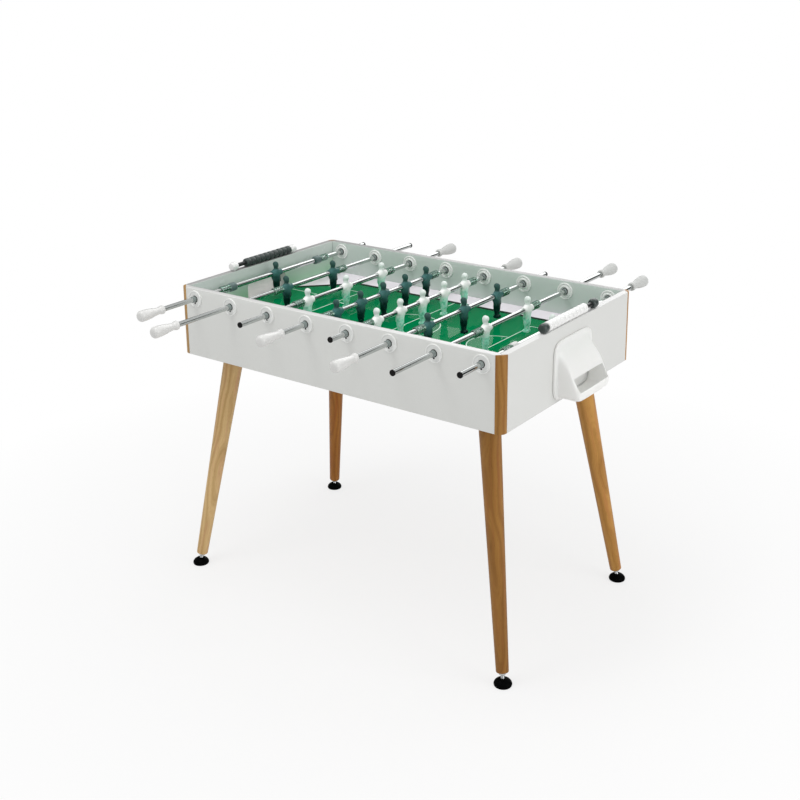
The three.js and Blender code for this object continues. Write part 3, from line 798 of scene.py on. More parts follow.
def panel_corners(long, deep):
    """Outline of a board from above, mitred behind the corner strips; long and deep are half sizes."""
    strip = POST / 2 + GAP
    end = [
        (long - POST - GAP, -deep, 0),
        (long - strip - GAP, -deep + strip, 0),
        (long - PANEL_T - GAP, -deep + PANEL_T, 0),
    ]
    return end + [(-a, b, 0) for a, b, _ in reversed(end)]


def panel(long, deep):
    bm = prism(panel_corners(long, deep), TOP_Z - BASE_Z)
    bmesh.ops.translate(bm, vec=(0, 0, BASE_Z), verts=bm.verts[:])
    soften(bm, settings("cabinet").board_edge, segments=3)
    return bm


class FOOSBALL_OT_side_boards(Maker, bpy.types.Operator):
    """Model the two long boards, bored for the rods"""

    bl_idname = "foosball.side_boards"
    bl_label = "Side boards"

    def make(self):
        material = laminate("side laminate", settings("cabinet").laminate)
        for name, turn in (("front", 0), ("back", math.pi)):
            board = thing(name + "_side_board", moved(panel(END_X, SIDE_Y), Matrix.Rotation(turn, 4, "Z")))
            radius = settings("cabinet").sleeve_radius + SLEEVE_PLAY
            holes = [(0, -0.1, 0), (radius, -0.1, 0), (radius, 0.1, 0), (0, 0.1, 0)]
            side = -SIDE_Y if turn == 0 else SIDE_Y
            puts = [along((0, 1, 0), (rod.x, side, rod.z)) for rod in RODS]
            cutter = gathered([moved(turned(holes, 32), put) for put in puts])
            pierce(board, cutter)
            place(board, "table", "white_laminate", material, [name + "_side_panel"])


class FOOSBALL_OT_end_boards(Maker, bpy.types.Operator):
    """Model the two end boards with their goal mouths"""

    bl_idname = "foosball.end_boards"
    bl_label = "End boards"

    def make(self):
        cabinet = settings("cabinet")
        # The end boards' darker laminate is painted shade against the right lamp.
        material = laminate("end laminate", cabinet.laminate_end)
        half = cabinet.goal_width / 2
        sill = FIELD_Z - GAP
        mouth = [
            (-half, sill, 0),
            (half, sill, 0),
            (half, sill + cabinet.goal_height, cabinet.goal_round),
            (-half, sill + cabinet.goal_height, cabinet.goal_round),
        ]
        for name, side in (("right", 1), ("left", -1)):
            turn = Matrix.Rotation(side * math.pi / 2, 4, "Z")
            board = thing(name + "_end_board", moved(panel(SIDE_Y, END_X), turn))
            upright = turn @ Matrix.Rotation(math.pi / 2, 4, "X")
            start = Matrix.Translation((side * (INNER_X - PANEL_T / 2), 0, 0))
            cutter = moved(prism(mouth, PANEL_T * 2), start @ upright)
            pierce(board, cutter)
            place(board, "table", "white_laminate", material, [name + "_end_panel"])


class FOOSBALL_OT_corner_strips(Maker, bpy.types.Operator):
    """Model the four rounded beech strips at the corners"""

    bl_idname = "foosball.corner_strips"
    bl_label = "Corner strips"

    def make(self):
        for name, (x, y) in CORNERS.items():
            corners = [(-POST, 0, 0), (0, 0, settings("cabinet").post_round), (0, POST, 0)]
            bm = prism(corners, TOP_Z - BASE_Z)
            soften(bm, 0.0008, segments=2, limit=60)
            flip = Matrix.Diagonal((x, -y, 1, 1))
            put = Matrix.Translation((x * END_X, y * SIDE_Y, BASE_Z)) @ flip
            strip = thing("corner_strip_" + name, moved(bm, put))
            shift = (-x * END_X, -y * SIDE_Y, x * 0.7 + y * 0.3)
            woods = (settings("cabinet").strip_wood, getattr(settings("legs"), name))
            # Each strip takes half its leg's tone, with that tone's painted light and shade.
            material = beech("beech strip " + name, [(a + b) / 2 for a, b in zip(*woods)], shift=shift)
            place(strip, "table", "beech", material, ["corner_post_" + name])


class FOOSBALL_OT_bushings(Maker, bpy.types.Operator):
    """Model the flanged bushings and the bearing sleeves that the rods run in"""

    bl_idname = "foosball.bushings"
    bl_label = "Bushings"

    def make(self):
        cabinet = settings("cabinet")
        white = moulded("bushing plastic", cabinet.bushing, rough=0.28)
        grey = moulded("sleeve plastic", cabinet.sleeve, rough=0.35)
        # Dark plastic that stands for shade in the gap round the sleeve and in the flange's slot.
        black = moulded("seal rubber", cabinet.seal, rough=0.6, Specular_IOR_Level=0.1)
        bore = settings("rods").radius + PLAY
        inside = HUB_IN + 0.006
        outside = HUB_OUT - 0.002
        sleeve = [(bore, inside, 0), (cabinet.sleeve_radius, inside, 0.0006)]
        sleeve += [(cabinet.sleeve_radius, outside, 0.0006), (bore, outside, 0)]
        slot_low = Vector((-0.0024, SIDE_Y + 0.0008, -0.0148))
        slot_high = Vector((0.0024, SIDE_Y + 0.006, -0.0104))
        play = Vector((PLAY, PLAY, PLAY))
        for rod in RODS:
            for name, side in SIDES.items():
                out = rod.axis(side)
                liner = thing(f"sleeve_{rod.number}_{name}", moved(turned(sleeve, 40, closed=True), out))
                place(liner, "table", "white_plastic", grey)
                flip = Matrix.Translation((rod.x, 0, rod.z)) @ Matrix.Diagonal((1, side, 1, 1))
                # A dark block filling the flange's slot: painted shade in the slot.
                slot_shade_high = (slot_high.x - PLAY, SIDE_Y + cabinet.bush_floor, slot_high.z - PLAY)
                slot_shade = cuboid(slot_low + play, slot_shade_high)
                rings = [moved(turned(self.seals(), 40, closed=True), out), moved(slot_shade, flip)]
                seal = thing(f"seal_{rod.number}_{name}", gathered(rings))
                place(seal, "table", "dark_plastic", black)
                rim = moved(turned(self.flange(), closed=True), out)
                flange = thing(f"bushing_{rod.number}_{name}", rim)
                pierce(flange, moved(cuboid(slot_low, slot_high), flip))
                place(flange, "table", "white_plastic", white)

    def seals(self):
        """Section of the dark ring between sleeve and flange, from face to face: painted shade in the gap
        round the sleeve.
        """
        cabinet = settings("cabinet")
        r = cabinet.sleeve_radius + 0.00002
        wide = r + 0.0013
        outer = SIDE_Y + cabinet.bush_floor + 0.0009
        inner = INNER_Y - cabinet.bush_floor - 0.0009
        return [(r, inner, 0), (wide, inner, 0.0006), (wide, outer, 0.0006), (r, outer, 0)]

    def flange(self):
        """Section of a bushing without its sleeve, as distances from the rod and from the table's middle."""
        cabinet = settings("cabinet")
        inner = cabinet.sleeve_radius + 0.0014
        hole = cabinet.sleeve_radius + SLEEVE_PLAY
        edge = cabinet.bush_radius
        rim = edge - cabinet.bush_rim
        outside = SIDE_Y + cabinet.bush_flange
        inside = INNER_Y - cabinet.bush_flange
        floor = SIDE_Y + cabinet.bush_floor
        ceiling = INNER_Y - cabinet.bush_floor
        step = 0.0155
        return [
            (inner, floor, 0.0003),
            (rim - 0.0008, floor, 0.0003),
            (rim, outside, 0.0006),
            (edge, outside, 0.0012),
            (edge, SIDE_Y + PLAY, 0),
            (hole, SIDE_Y + PLAY, 0),
            (hole, INNER_Y - PLAY, 0),
            (edge, INNER_Y - PLAY, 0),
            (edge, inside, 0.0012),
            (rim, inside, 0.0006),
            (rim - 0.0008, ceiling, 0.0003),
            (step + 0.0006, ceiling, 0.0003),
            (step, inside - 0.0014, 0.0006),
            (step - 0.0028, inside - 0.0014, 0.0006),
            (inner + 0.0016, ceiling, 0.0003),
            (inner, ceiling, 0),
        ]


# ---------------------------------------------------------------- playing field


class FOOSBALL_OT_field(Maker, bpy.types.Operator):
    """Finish the printed glass, its board and the raised borders"""

    bl_idname = "foosball.field"
    bl_label = "Playing field"

    def make(self):
        coat("pitch_glass", clear_pane())
        low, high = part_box("pitch_glass")
        top = low.z - 0.00005
        sheet = thing("pitch_print", cuboid((low.x, low.y, top - 0.0002), (high.x, high.y, top)))
        place(sheet, "table", "field", printed_field())
        coat("pitch_board", fibreboard())
        border = border_plastic()
        for side in ("front", "back"):
            coat(side + "_border_ramp", border)


# ---------------------------------------------------------------- rods


class FOOSBALL_OT_rods(Maker, bpy.types.Operator):
    """Model the plated rods with the plugs in their free ends"""

    bl_idname = "foosball.rods"
    bl_label = "Rods"

    def make(self):
        rods = settings("rods")
        plated = chrome("chrome", rods.chrome)
        black = moulded("plug plastic", rods.plug, rough=0.45, Specular_IOR_Level=0.15)
        r = rods.radius
        cap = r + 0.0008
        for rod in RODS:
            start = -rod.free + rods.plug_length
            end = rod.grip + SUNK - GAP
            tube = turned([(0, start, 0), (r, start, 0.0003), (r, end, 0.0008), (0, end, 0)])
            out = rod.axis(rod.side)
            bar = thing(f"rod_bar_{rod.number}", moved(tube, out))
            place(bar, rod.body, "rod", plated, [f"rod_{rod.number}"])
            near = start - PLAY
            plug = [(0, -rod.free, 0), (cap, -rod.free, 0.002), (cap, near, 0.0004), (0, near, 0)]
            end_cap = thing(f"rod_plug_{rod.number}", moved(turned(plug), out))
            place(end_cap, rod.body, "dark_plastic", black)


class FOOSBALL_OT_collars(Maker, bpy.types.Operator):
    """Model the barrel collars on the goalkeepers' rods"""

    bl_idname = "foosball.collars"
    bl_label = "Collars"

    def make(self):
        rods = settings("rods")
        finishes = {
            "dark": moulded("dark collar plastic", rods.collar, rough=0.32),
            "white": moulded("white collar plastic", rods.handle, rough=0.3),
        }
        r = rods.collar_radius
        bore = rods.radius + 0.00005
        for rod in (rod for rod in RODS if rod.men == 1):
            far = rod.spring_in - GAP
            near = far - rods.collar_length
            groove = (near + far) / 2
            section = [
                (bore, near, 0.0004),
                (r, near, 0.004),
                (r, groove - 0.0012, 0.0003),
                (r - 0.0006, groove, 0.0003),
                (r, groove + 0.0012, 0.0003),
                (r, far, 0.004),
                (bore, far, 0.0004),
            ]
            for name, side in SIDES.items():
                out = rod.axis(side)
                collar = thing(f"collar_{rod.number}_{name}", moved(turned(section, closed=True), out))
                place(collar, rod.body, rod.team + "_plastic", finishes[rod.team])


class FOOSBALL_OT_springs(Maker, bpy.types.Operator):
    """Wind the buffer springs, with closed turns at both ends"""

    bl_idname = "foosball.springs"
    bl_label = "Springs"

    def make(self):
        material = blued_steel()
        for rod in RODS:
            for name, side in SIDES.items():
                out = rod.axis(side)
                coil = moved(self.coil(rod.spring_in, rod.spring_out), out)
                wound = thing(f"coil_{rod.number}_{name}", coil)
                place(wound, f"springs_{rod.number}", "spring", material, [f"spring_{rod.number}_{name}"])

    def coil(self, start, end):
        rods = settings("rods")
        wire = rods.wire
        ends = 0.75  # closed turns at each end
        closed_pitch = wire * 2.02
        length = end - start - 2 * wire
        pitch = (length - 2 * ends * closed_pitch) / rods.turns
        bm = bmesh.new()
        upright = Matrix.Translation((rods.coil, 0, start + wire)) @ Matrix.Rotation(math.pi / 2, 4, "X")
        bmesh.ops.create_circle(bm, cap_ends=False, radius=wire, segments=8, matrix=upright)
        ring = bm.verts[:] + bm.edges[:]
        bmesh.ops.contextual_create(bm, geom=bm.edges[:])
        for turns, rise in ((ends, closed_pitch), (rods.turns, pitch), (ends, closed_pitch)):
            count = round(turns * 20)
            wound = bmesh.ops.spin(
                bm,
                geom=ring,
                cent=(0, 0, 0),
                axis=(0, 0, 1),
                dvec=(0, 0, rise * turns / count),
                angle=2 * math.pi * turns,
                steps=count,
                use_merge=False,
            )
            ring = wound["geom_last"]
        bmesh.ops.contextual_create(bm, geom=[e for e in ring if isinstance(e, bmesh.types.BMEdge)])
        bmesh.ops.recalc_face_normals(bm, faces=bm.faces[:])
        return bm


class FOOSBALL_OT_handles(Maker, bpy.types.Operator):
    """Model the pear-shaped handles"""

    bl_idname = "foosball.handles"
    bl_label = "Handles"

    def make(self):
        rods = settings("rods")
        # The white team's handles at the back get a greyer colour as painted shade.
        looks = {
            "dark": (rods.handle, 0.26, {"Coat_Weight": 0.15}),
            "white": (rods.handle_far_painted_shade, 0.45, {"Specular_IOR_Level": 0.2}),
        }
        finishes = {
            team: moulded(team + " team handle plastic", tint, rough, 0.00004, **gloss)
            for team, (tint, rough, gloss) in looks.items()
        }
        bore = rods.radius + PLAY
        neck = 0.0121
        waist = 0.0096
        for rod in RODS:
            start, end = rod.grip, rod.grip_end
            bulge = rods.grip_white if rod.team == "white" else rods.grip
            section = [
                (bore, start, 0.0004),
                (neck, start, 0.003),
                (neck, start + 0.0095, 0.0035),
                (waist, start + 0.014, 0.002),
                (0.0102, start + 0.026, 0.008),
                (bulge, start + 0.06, 0.018),
                (bulge - 0.0008, end - 0.002, 0.009),
                (0.004, end, 0.002),
                (0, end, 0),
                (0, start + SUNK, 0),
                (bore, start + SUNK, 0),
            ]
            out = rod.axis(rod.side)
            grip = thing(f"grip_{rod.number}", moved(turned(section, closed=True), out), smooth=50)
            place(grip, rod.body, "white_plastic", finishes[rod.team], [f"handle_{rod.number}"])


# ---------------------------------------------------------------- players


def ball(bm, centre, radii, detail=16):
    """An ellipsoid; sizes in millimetres."""
    shape = Matrix.Translation(Vector(centre) / 1000) @ Matrix.Diagonal((*(Vector(radii) / 1000), 1))
    bmesh.ops.create_uvsphere(bm, u_segments=detail * 2, v_segments=detail, radius=1, matrix=shape)


def limb(bm, start, end, first, last):
    """A rounded limb from one joint to the next; sizes in millimetres."""
    run = Vector(end) - Vector(start)
    middle = (Vector(start) + Vector(end)) / 2000
    ball(bm, start, (first, first, first), 10)
    ball(bm, end, (last, last, last), 10)
    bmesh.ops.create_cone(
        bm,
        cap_ends=True,
        segments=20,
        radius1=first / 1000,
        radius2=last / 1000,
        depth=run.length / 1000,
        matrix=along(run, middle),
    )


def trunk(bm, rings):
    """A body of stacked ellipses: height, half depth and half width, in millimetres."""
    z, dx, dy = rings[0]
    first = Matrix.Translation((0, 0, z / 1000)) @ Matrix.Diagonal((dx / 1000, dy / 1000, 1, 1))
    made = bmesh.ops.create_circle(bm, cap_ends=True, radius=1, segments=28, matrix=first)
    edges = list({e for v in made["verts"] for e in v.link_edges})
    for (z0, dx0, dy0), (z1, dx1, dy1) in zip(rings, rings[1:]):
        grown = bmesh.ops.extrude_edge_only(bm, edges=edges)["geom"]
        verts = [v for v in grown if isinstance(v, bmesh.types.BMVert)]
        edges = [e for e in grown if isinstance(e, bmesh.types.BMEdge)]
        bmesh.ops.scale(bm, vec=(dx1 / dx0, dy1 / dy0, 1), verts=verts)
        bmesh.ops.translate(bm, vec=(0, 0, (z1 - z0) / 1000), verts=verts)
    bmesh.ops.contextual_create(bm, geom=edges)


def brick(bm, low, high, edge):
    """A softened block; sizes in millimetres."""
    block = cuboid(Vector(low) / 1000, Vector(high) / 1000)
    bevel(block, block.edges[:], edge / 1000, 3)
    add(bm, block)


def player_mesh():
    """One player about the rod's axis, looking along +X: head, shirt, arms, shorts, legs and boots."""
    players = settings("players")
    sole = players.reach * 1000
    shoulder = players.half_width * 1000
    bm = bmesh.new()
    # head, with a plain doll's face
    ball(bm, (0.3, 0, 25.2), (8.8, 8.0, 10.8))
    ball(bm, (1.2, 0, 19.6), (7.2, 6.4, 6.8))
    ball(bm, (-1.0, 0, 27.0), (8.8, 8.3, 8.6))
    ball(bm, (9.0, 0, 23.6), (1.5, 1.2, 2.1), 8)
    for side in (-1, 1):
        ball(bm, (-0.2, side * 7.9, 24.2), (1.7, 1.0, 2.4), 8)
    limb(bm, (-0.5, 0, 19), (-0.5, 0, 11), 6.2, 7.2)
    # shirt, and shorts that hang straight down
    trunk(
        bm,
        [
            (13.5, 5.6, 7.2),
            (11, 7.8, 12.6),
            (7.5, 9.2, 17.6),
            (3, 9.8, shoulder - 0.4),
            (-5, 9.8, shoulder - 0.6),
            (-12, 9.4, 16.2),
            (-20, 9.0, 13.6),
            (-28, 8.9, 12.4),
            (-29, 9.5, 12.9),
            (-40, 9.0, 11.8),
            (-45, 8.2, 10.8),
        ],
    )
    # boss round the rod, flat where the rod comes out
    bore = [(0, -shoulder, 0), (9.6, -shoulder, 1.2), (9.6, shoulder, 1.2), (0, shoulder, 0)]
    add(bm, moved(turned([(r / 1000, h / 1000, c / 1000) for r, h, c in bore], 32), along((0, 1, 0))))
    for side in (-1, 1):
        # arm along the body, hand on the thigh
        limb(bm, (0, side * 15.4, 3), (-1.0, side * 14.6, -11), 4.9, 4.2)
        limb(bm, (-1.0, side * 14.6, -11), (2.6, side * 12.8, -23), 4.2, 3.3)
        ball(bm, (3.6, side * 12.2, -25.5), (3.2, 2.5, 3.4), 8)
        # calf and boot
        limb(bm, (0.2, side * 5.2, -42), (0.2, side * 4.8, -58), 5.5, 4.4)
        brick(bm, (-7.2, side * 4.8 - 4.2, -sole), (9.6, side * 4.8 + 4.2, -sole + 9), 2.4)
    brick(bm, (-5, -3, -60), (5, 3, -42), 1.2)
    cast = thing("player", bm)
    remesh = cast.modifiers.new("cast", "REMESH")
    remesh.mode = "VOXEL"
    remesh.voxel_size = players.grain
    smooth = cast.modifiers.new("polish", "SMOOTH")
    smooth.factor = 0.5
    smooth.iterations = 3
    thin = cast.modifiers.new("thin", "DECIMATE")
    thin.ratio = 0.45
    settle(cast)
    mesh = cast.data
    bpy.data.objects.remove(cast)
    return mesh


class FOOSBALL_OT_players(Maker, bpy.types.Operator):
    """Cast the players and set them on their rods"""

    bl_idname = "foosball.players"
    bl_label = "Players"

    def make(self):
        pattern = player_mesh()
        finishes = {team: kit(team) for team in ("dark", "white")}
        for rod in RODS:
            facing = 0 if rod.team == "dark" else math.pi
            for i, y in enumerate(rod.places(settings("players").half_width), start=1):
                mesh = pattern.copy()
                mesh.transform(Matrix.Translation((rod.x, y, rod.z)) @ Matrix.Rotation(facing, 4, "Z"))
                player = thing_of(f"player_{rod.number}_{i}", mesh, smooth=60)
                place(player, rod.body, rod.team + "_plastic", finishes[rod.team])
        bpy.data.meshes.remove(pattern)


# ---------------------------------------------------------------- scorers


class FOOSBALL_OT_scorers(Maker, bpy.types.Operator):
    """Model the bead counters: bar, end knobs and beads"""

    bl_idname = "foosball.scorers"
    bl_label = "Scorers"

    def make(self):
        scorers = settings("scorers")
        bar_finish = moulded("bar plastic", scorers.bar, rough=0.3)
        plastics = {
            "white": moulded("white counter plastic", scorers.white, rough=0.22, Coat_Weight=0.3),
            "dark": moulded("dark counter plastic", scorers.dark, rough=0.34),
        }
        for name, knobs, beads in (("left", "white", "dark"), ("right", "dark", "white")):
            low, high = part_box(name + "_score_rail")
            centre = Vector(((low.x + high.x) / 2, 0, high.z - (high.x - low.x) / 2))
            end = high.y
            out = along((0, 1, 0), centre)
            reach = end - scorers.knob_length / 2
            r = scorers.bar_radius
            bar = turned([(0, -reach, 0), (r, -reach, 0), (r, reach, 0), (0, reach, 0)], 32)
            piece = thing(name + "_counter_bar", moved(bar, out))
            place(piece, "table", "dark_plastic", bar_finish, [name + "_score_rail"])
            for side_name, side in SIDES.items():
                knob = gathered([self.knob((high.x - low.x) / 2, end), self.foot(centre.z)])
                put = along((0, side, 0), centre)
                piece = thing(f"{name}_knob_{side_name}", moved(knob, put))
                place(piece, "table", knobs + "_plastic", plastics[knobs])
            self.row(name, centre, plastics[beads], beads + "_plastic")

    def knob(self, radius, end):
        length = settings("scorers").knob_length
        start = end - length
        section = [
            (0.0046, start, 0),
            (radius * 0.78, start, 0.0015),
            (radius, start + length * 0.2, 0.004),
            (radius, end - length * 0.2, 0.004),
            (radius * 0.78, end, 0.0025),
            (0, end, 0),
        ]
        return turned(section)

    def foot(self, height):
        """Short foot from a knob down to the board, drawn with local Y down."""
        drop = height - TOP_Z - GAP
        y = settings("scorers").knob_length / 2
        shank = [(0, 0, 0), (0.006, 0, 0), (0.006, drop, 0.0006), (0, drop, 0)]
        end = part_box("right_score_rail")[1].y - y
        put = Matrix.Translation((0, 0, end)) @ Matrix.Rotation(math.pi / 2, 4, "X")
        return moved(turned(shank, 32), put)

    def row(self, name, centre, material, slot):
        scorers = settings("scorers")
        low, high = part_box(name + "_score_beads")
        radius = (high.x - low.x) / 2
        pitch = (high.y - low.y) / scorers.beads
        bore = scorers.bar_radius + GAP
        section = [
            (bore, GAP, 0.0004),
            (radius, GAP, scorers.bead_round),
            (radius, pitch - GAP, scorers.bead_round),
            (bore, pitch - GAP, 0.0004),
        ]
        for i in range(scorers.beads):
            put = along((0, 1, 0), (centre.x, low.y + i * pitch, centre.z))
            bead = thing(f"{name}_bead_{i + 1}", moved(turned(section, 40, closed=True), put))
            stands_for = [name + "_score_beads"] if i == 0 else []
            place(bead, name + "_beads", slot, material, stands_for)


# ---------------------------------------------------------------- ball cups


class FOOSBALL_OT_cups(Maker, bpy.types.Operator):
    """Mould the ball cups outside the goals"""

    bl_idname = "foosball.cups"
    bl_label = "Ball cups"

    # The skin's loops, from the flange's back edge to the edge of the hand opening. Each has the reach and
    # height at its top, the reach and height at its bottom, its half width and its corner radius, as shares
    # of the cup's own sizes.
    LOOPS = (
        (0.004, 1.0, 0.004, 0.0, 1.0, 0.28),
        (0.07, 1.0, 0.07, 0.0, 1.0, 0.28),
        (0.1, 0.98, 0.1, 0.014, 0.98, 0.27),
        (0.1, 0.95, 0.1, 0.022, 0.945, 0.25),
        (0.095, 0.925, 0.1, 0.028, 0.9, 0.24),
        (0.12, 0.87, 0.16, 0.029, 0.872, 0.23),
        (0.22, 0.79, 0.5, 0.028, 0.862, 0.22),
        (0.34, 0.715, 0.72, 0.029, 0.857, 0.2),
        (0.48, 0.64, 0.9, 0.04, 0.85, 0.18),
        (0.575, 0.55, 0.985, 0.08, 0.84, 0.13),
        (0.64, 0.475, 1.0, 0.14, 0.815, 0.09),
        (0.685, 0.43, 1.0, 0.2, 0.79, 0.05),
        (0.69, 0.42, 1.0, 0.212, 0.777, 0.03),
    )

    def make(self):
        cups = settings("cups")
        material = moulded("cup plastic", cups.plastic, rough=0.34, peel=0.00005)
        let_through(material, cups.plastic, cups.see_through)
        for name, side in (("right", 1), ("left", -1)):
            low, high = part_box(name + "_ball_cup")
            size = Vector((high.x - low.x, (high.y - low.y) / 2, high.z - low.z))
            corner = (low.x if side > 0 else high.x, 0, low.z)
            put = Matrix.Translation(corner) @ Matrix.Diagonal((side, side, 1, 1))
            cup = thing(name + "_cup", moved(self.skin(size), put))
            wall = cup.modifiers.new("wall", "SOLIDIFY")
            wall.thickness = cups.wall
            wall.offset = -1
            surface = cup.modifiers.new("smooth surface", "SUBSURF")
            surface.levels = 3
            surface.render_levels = 3
            place(cup, "table", "white_plastic", material, [name + "_ball_cup"])
            back = thing(name + "_cup_back", moved(self.back(size), put))
            place(back, "table", "white_plastic", material)

    def skin(self, size):
        """The outside of the cup, open at the back and at the hand opening, with X away from the board."""
        bm = bmesh.new()
        loops = []
        for loop in self.LOOPS:
            verts = [bm.verts.new(point) for point in self.loop(size, *loop)]
            loops.append([bm.edges.new(pair) for pair in zip(verts, verts[1:] + verts[:1])])
        for lower, upper in zip(loops, loops[1:]):
            bmesh.ops.bridge_loops(bm, edges=lower + upper)
        bmesh.ops.recalc_face_normals(bm, faces=bm.faces[:])
        if max(bm.faces, key=lambda face: face.calc_center_median().z).normal.z < 0:
            bmesh.ops.reverse_faces(bm, faces=bm.faces[:])
        return bm

    def loop(self, size, top_out, top, bottom_out, bottom, width, corner):
        """Points of one loop: a rounded oblong that leans out towards its foot."""
        half, radius = width * size.y, corner * size.y
        radius = min(radius, (top - bottom) * size.z * 0.4)
        points = []
        for side_y, end, first in ((1, bottom, -90), (1, top, 0), (-1, top, 90), (-1, bottom, 180)):
            middle_y = side_y * (half - radius)
            middle_z = end * size.z + (radius if end == bottom else -radius)
            for turn in (0, 45, 90):
                angle = math.radians(first + turn)
                points.append((middle_y + radius * math.cos(angle), middle_z + radius * math.sin(angle)))
            if side_y > 0 and end == bottom or side_y < 0 and end == top:
                points.append((side_y * half, (top + bottom) / 2 * size.z))
            else:
                points.append((0, end * size.z))
        lean = (top_out - bottom_out) / (top - bottom) / size.z
        return [(size.x * (bottom_out + lean * (z - bottom * size.z)), y, z) for y, z in points]

    def back(self, size):
        """The wall behind the tray, with a slot under it and the goal's sill along its top."""
        cups = settings("cups")
        half = size.y * 0.83
        low = cups.wall + 0.0075
        high = FIELD_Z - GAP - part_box("right_ball_cup")[0].z
        corners = [(-half, low, 0.012), (half, low, 0.012), (half, high, 0), (-half, high, 0)]
        turn = Matrix.Rotation(math.pi / 2, 4, "Z") @ Matrix.Rotation(math.pi / 2, 4, "X")
        return moved(prism(corners, cups.wall), turn)


# ---------------------------------------------------------------- legs and feet


STEM_HOLE = 0.03  # depth of a stem's hole in its leg
STEM_IN = 0.024  # how far a stem goes into its leg
NUT_HEIGHT = 0.006


class FOOSBALL_OT_legs(Maker, bpy.types.Operator):
    """Turn the four tapered beech legs"""

    bl_idname = "foosball.legs"
    bl_label = "Legs"

    def make(self):
        legs = settings("legs")
        for name, (x, y) in CORNERS.items():
            low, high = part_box("leg_" + name)
            foot = foot_place(name)
            lean = Vector((-x * legs.lean_x, -y * legs.lean_y, 1))
            start = foot + lean * legs.end_z
            length = (high.z - legs.end_z) * lean.length
            run = length + legs.top_radius
            taper = (legs.top_radius - legs.end_radius) / length
            bore = legs.stem_radius + GAP
            section = [
                (0, STEM_HOLE, 0),
                (bore, STEM_HOLE, 0),
                (bore, 0, 0),
                (legs.end_radius, 0, legs.chamfer),
                (legs.end_radius + taper * run, run, 0),
                (0, run, 0),
            ]
            bm = moved(turned(section, 64), along(lean, start))
            cut = bmesh.ops.bisect_plane(
                bm,
                geom=bm.verts[:] + bm.edges[:] + bm.faces[:],
                plane_co=(0, 0, high.z),
                plane_no=(0, 0, 1),
                clear_outer=True,
            )
            rim = [e for e in cut["geom_cut"] if isinstance(e, bmesh.types.BMEdge)]
            bmesh.ops.contextual_create(bm, geom=rim)
            leg = thing("turned_leg_" + name, bm)
            straight = lean.to_track_quat("Z", "Y").inverted().to_euler()
            seed = (x + 2 * y) * 0.37
            centre = straight.to_matrix() @ start
            shift = (-centre.x, -centre.y, seed)
            material = beech("beech leg " + name, getattr(legs, name), turn=straight, shift=shift)
            place(leg, "table", "beech", material, ["leg_" + name])


def foot_place(name):
    """Where a leg's axis meets the floor."""
    legs = settings("legs")
    low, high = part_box("foot_" + name)
    x, y = CORNERS[name]
    half = legs.pad_height / 2
    outer_x = (high.x if x > 0 else low.x) - x * legs.pad_radius
    outer_y = (high.y if y > 0 else low.y) - y * legs.pad_radius
    return Vector((outer_x + x * legs.lean_x * half, outer_y + y * legs.lean_y * half, 0))


class FOOSBALL_OT_feet(Maker, bpy.types.Operator):
    """Model the levelling feet: pad, threaded stem and lock nut"""

    bl_idname = "foosball.feet"
    bl_label = "Feet"

    def make(self):
        legs = settings("legs")
        rubber = dusty_rubber("pad plastic", legs.pad)
        steel = chrome("zinc steel", legs.steel)
        for name, (x, y) in CORNERS.items():
            ground = foot_place(name)
            half = legs.pad_height / 2
            lean = Vector((-x * legs.lean_x, -y * legs.lean_y, 1))
            centre = ground + lean * half
            section = [
                (0, 0, 0),
                (legs.pad_radius - 0.0015, 0, 0.0005),
                (legs.pad_radius, legs.pad_height * 0.2, 0.0012),
                (legs.pad_radius - 0.0015, legs.pad_height * 0.55, 0.005),
                (legs.nut_radius, legs.pad_height, 0.003),
                (0, legs.pad_height, 0),
            ]
            put = Matrix.Translation((centre.x, centre.y, 0))
            pad = thing("foot_pad_" + name, moved(turned(section, 56), put))
            body = "foot_" + name
            place(pad, body, "foot", rubber, ["foot_" + name])
            reach = (legs.end_z - half) * lean.length
            stem = thing("foot_stem_" + name, moved(self.stem(reach), along(lean, centre)))
            place(stem, body, "foot", steel)
            nut = thing("foot_nut_" + name, moved(self.nut(reach), along(lean, centre)))
            place(nut, body, "foot", steel)

    def stem(self, reach):
        """Threaded stem, its thread as ridges."""
        r = settings("legs").stem_radius
        core = r - 0.0005
        pitch = 0.0015
        ridges = []
        z = 0.004
        while z < reach + STEM_IN:
            ridges += [(core, z, 0), (r, z + pitch / 2, 0)]
            z += pitch
        return turned([(0, 0, 0), (core, 0, 0), *ridges, (core, z, 0), (0, z, 0)], 32)

    def nut(self, reach):
        across = settings("legs").nut_radius
        turns = [math.pi / 3 * i for i in range(6)]
        bm = prism([(across * math.cos(a), across * math.sin(a), 0) for a in turns], NUT_HEIGHT)
        soften(bm, 0.0005, segments=2, limit=80)
        return moved(bm, Matrix.Translation((0, 0, reach - GAP - NUT_HEIGHT)))


# ---------------------------------------------------------------- stage


# Each lamp: name, place, the point it faces, its width and height, and the setting that holds its power.
LAMPS = (
    ("top lamp", (-0.45, -0.85, 3.1), (-0.1, 0, 0.2), (0.9, 2.2), "top_lamp"),
    ("right lamp", (3.0, 0.2, 1.6), (0, 0, 0.7), (1.8, 1.8), "right_lamp"),
)
# Each black card: name, width, height, and its direction from the middle of the field.
BLACK_CARDS = (
    ("black card", 3.6, 2.6, (0.66, 0.74, 0.2)),
    ("low black card", 6.0, 1.1, (-0.57, 0.78, -0.12)),
    ("left black card", 3.4, 2.6, (-0.8, 0.55, 0.26)),
)
WHITE_CARD = ("white card", 4.4, 3.6, (-0.23, 0.86, 0.42))
CARD_FAR = 4.5  # from the middle of the field to each card
FLOOR_RADIUS = 14


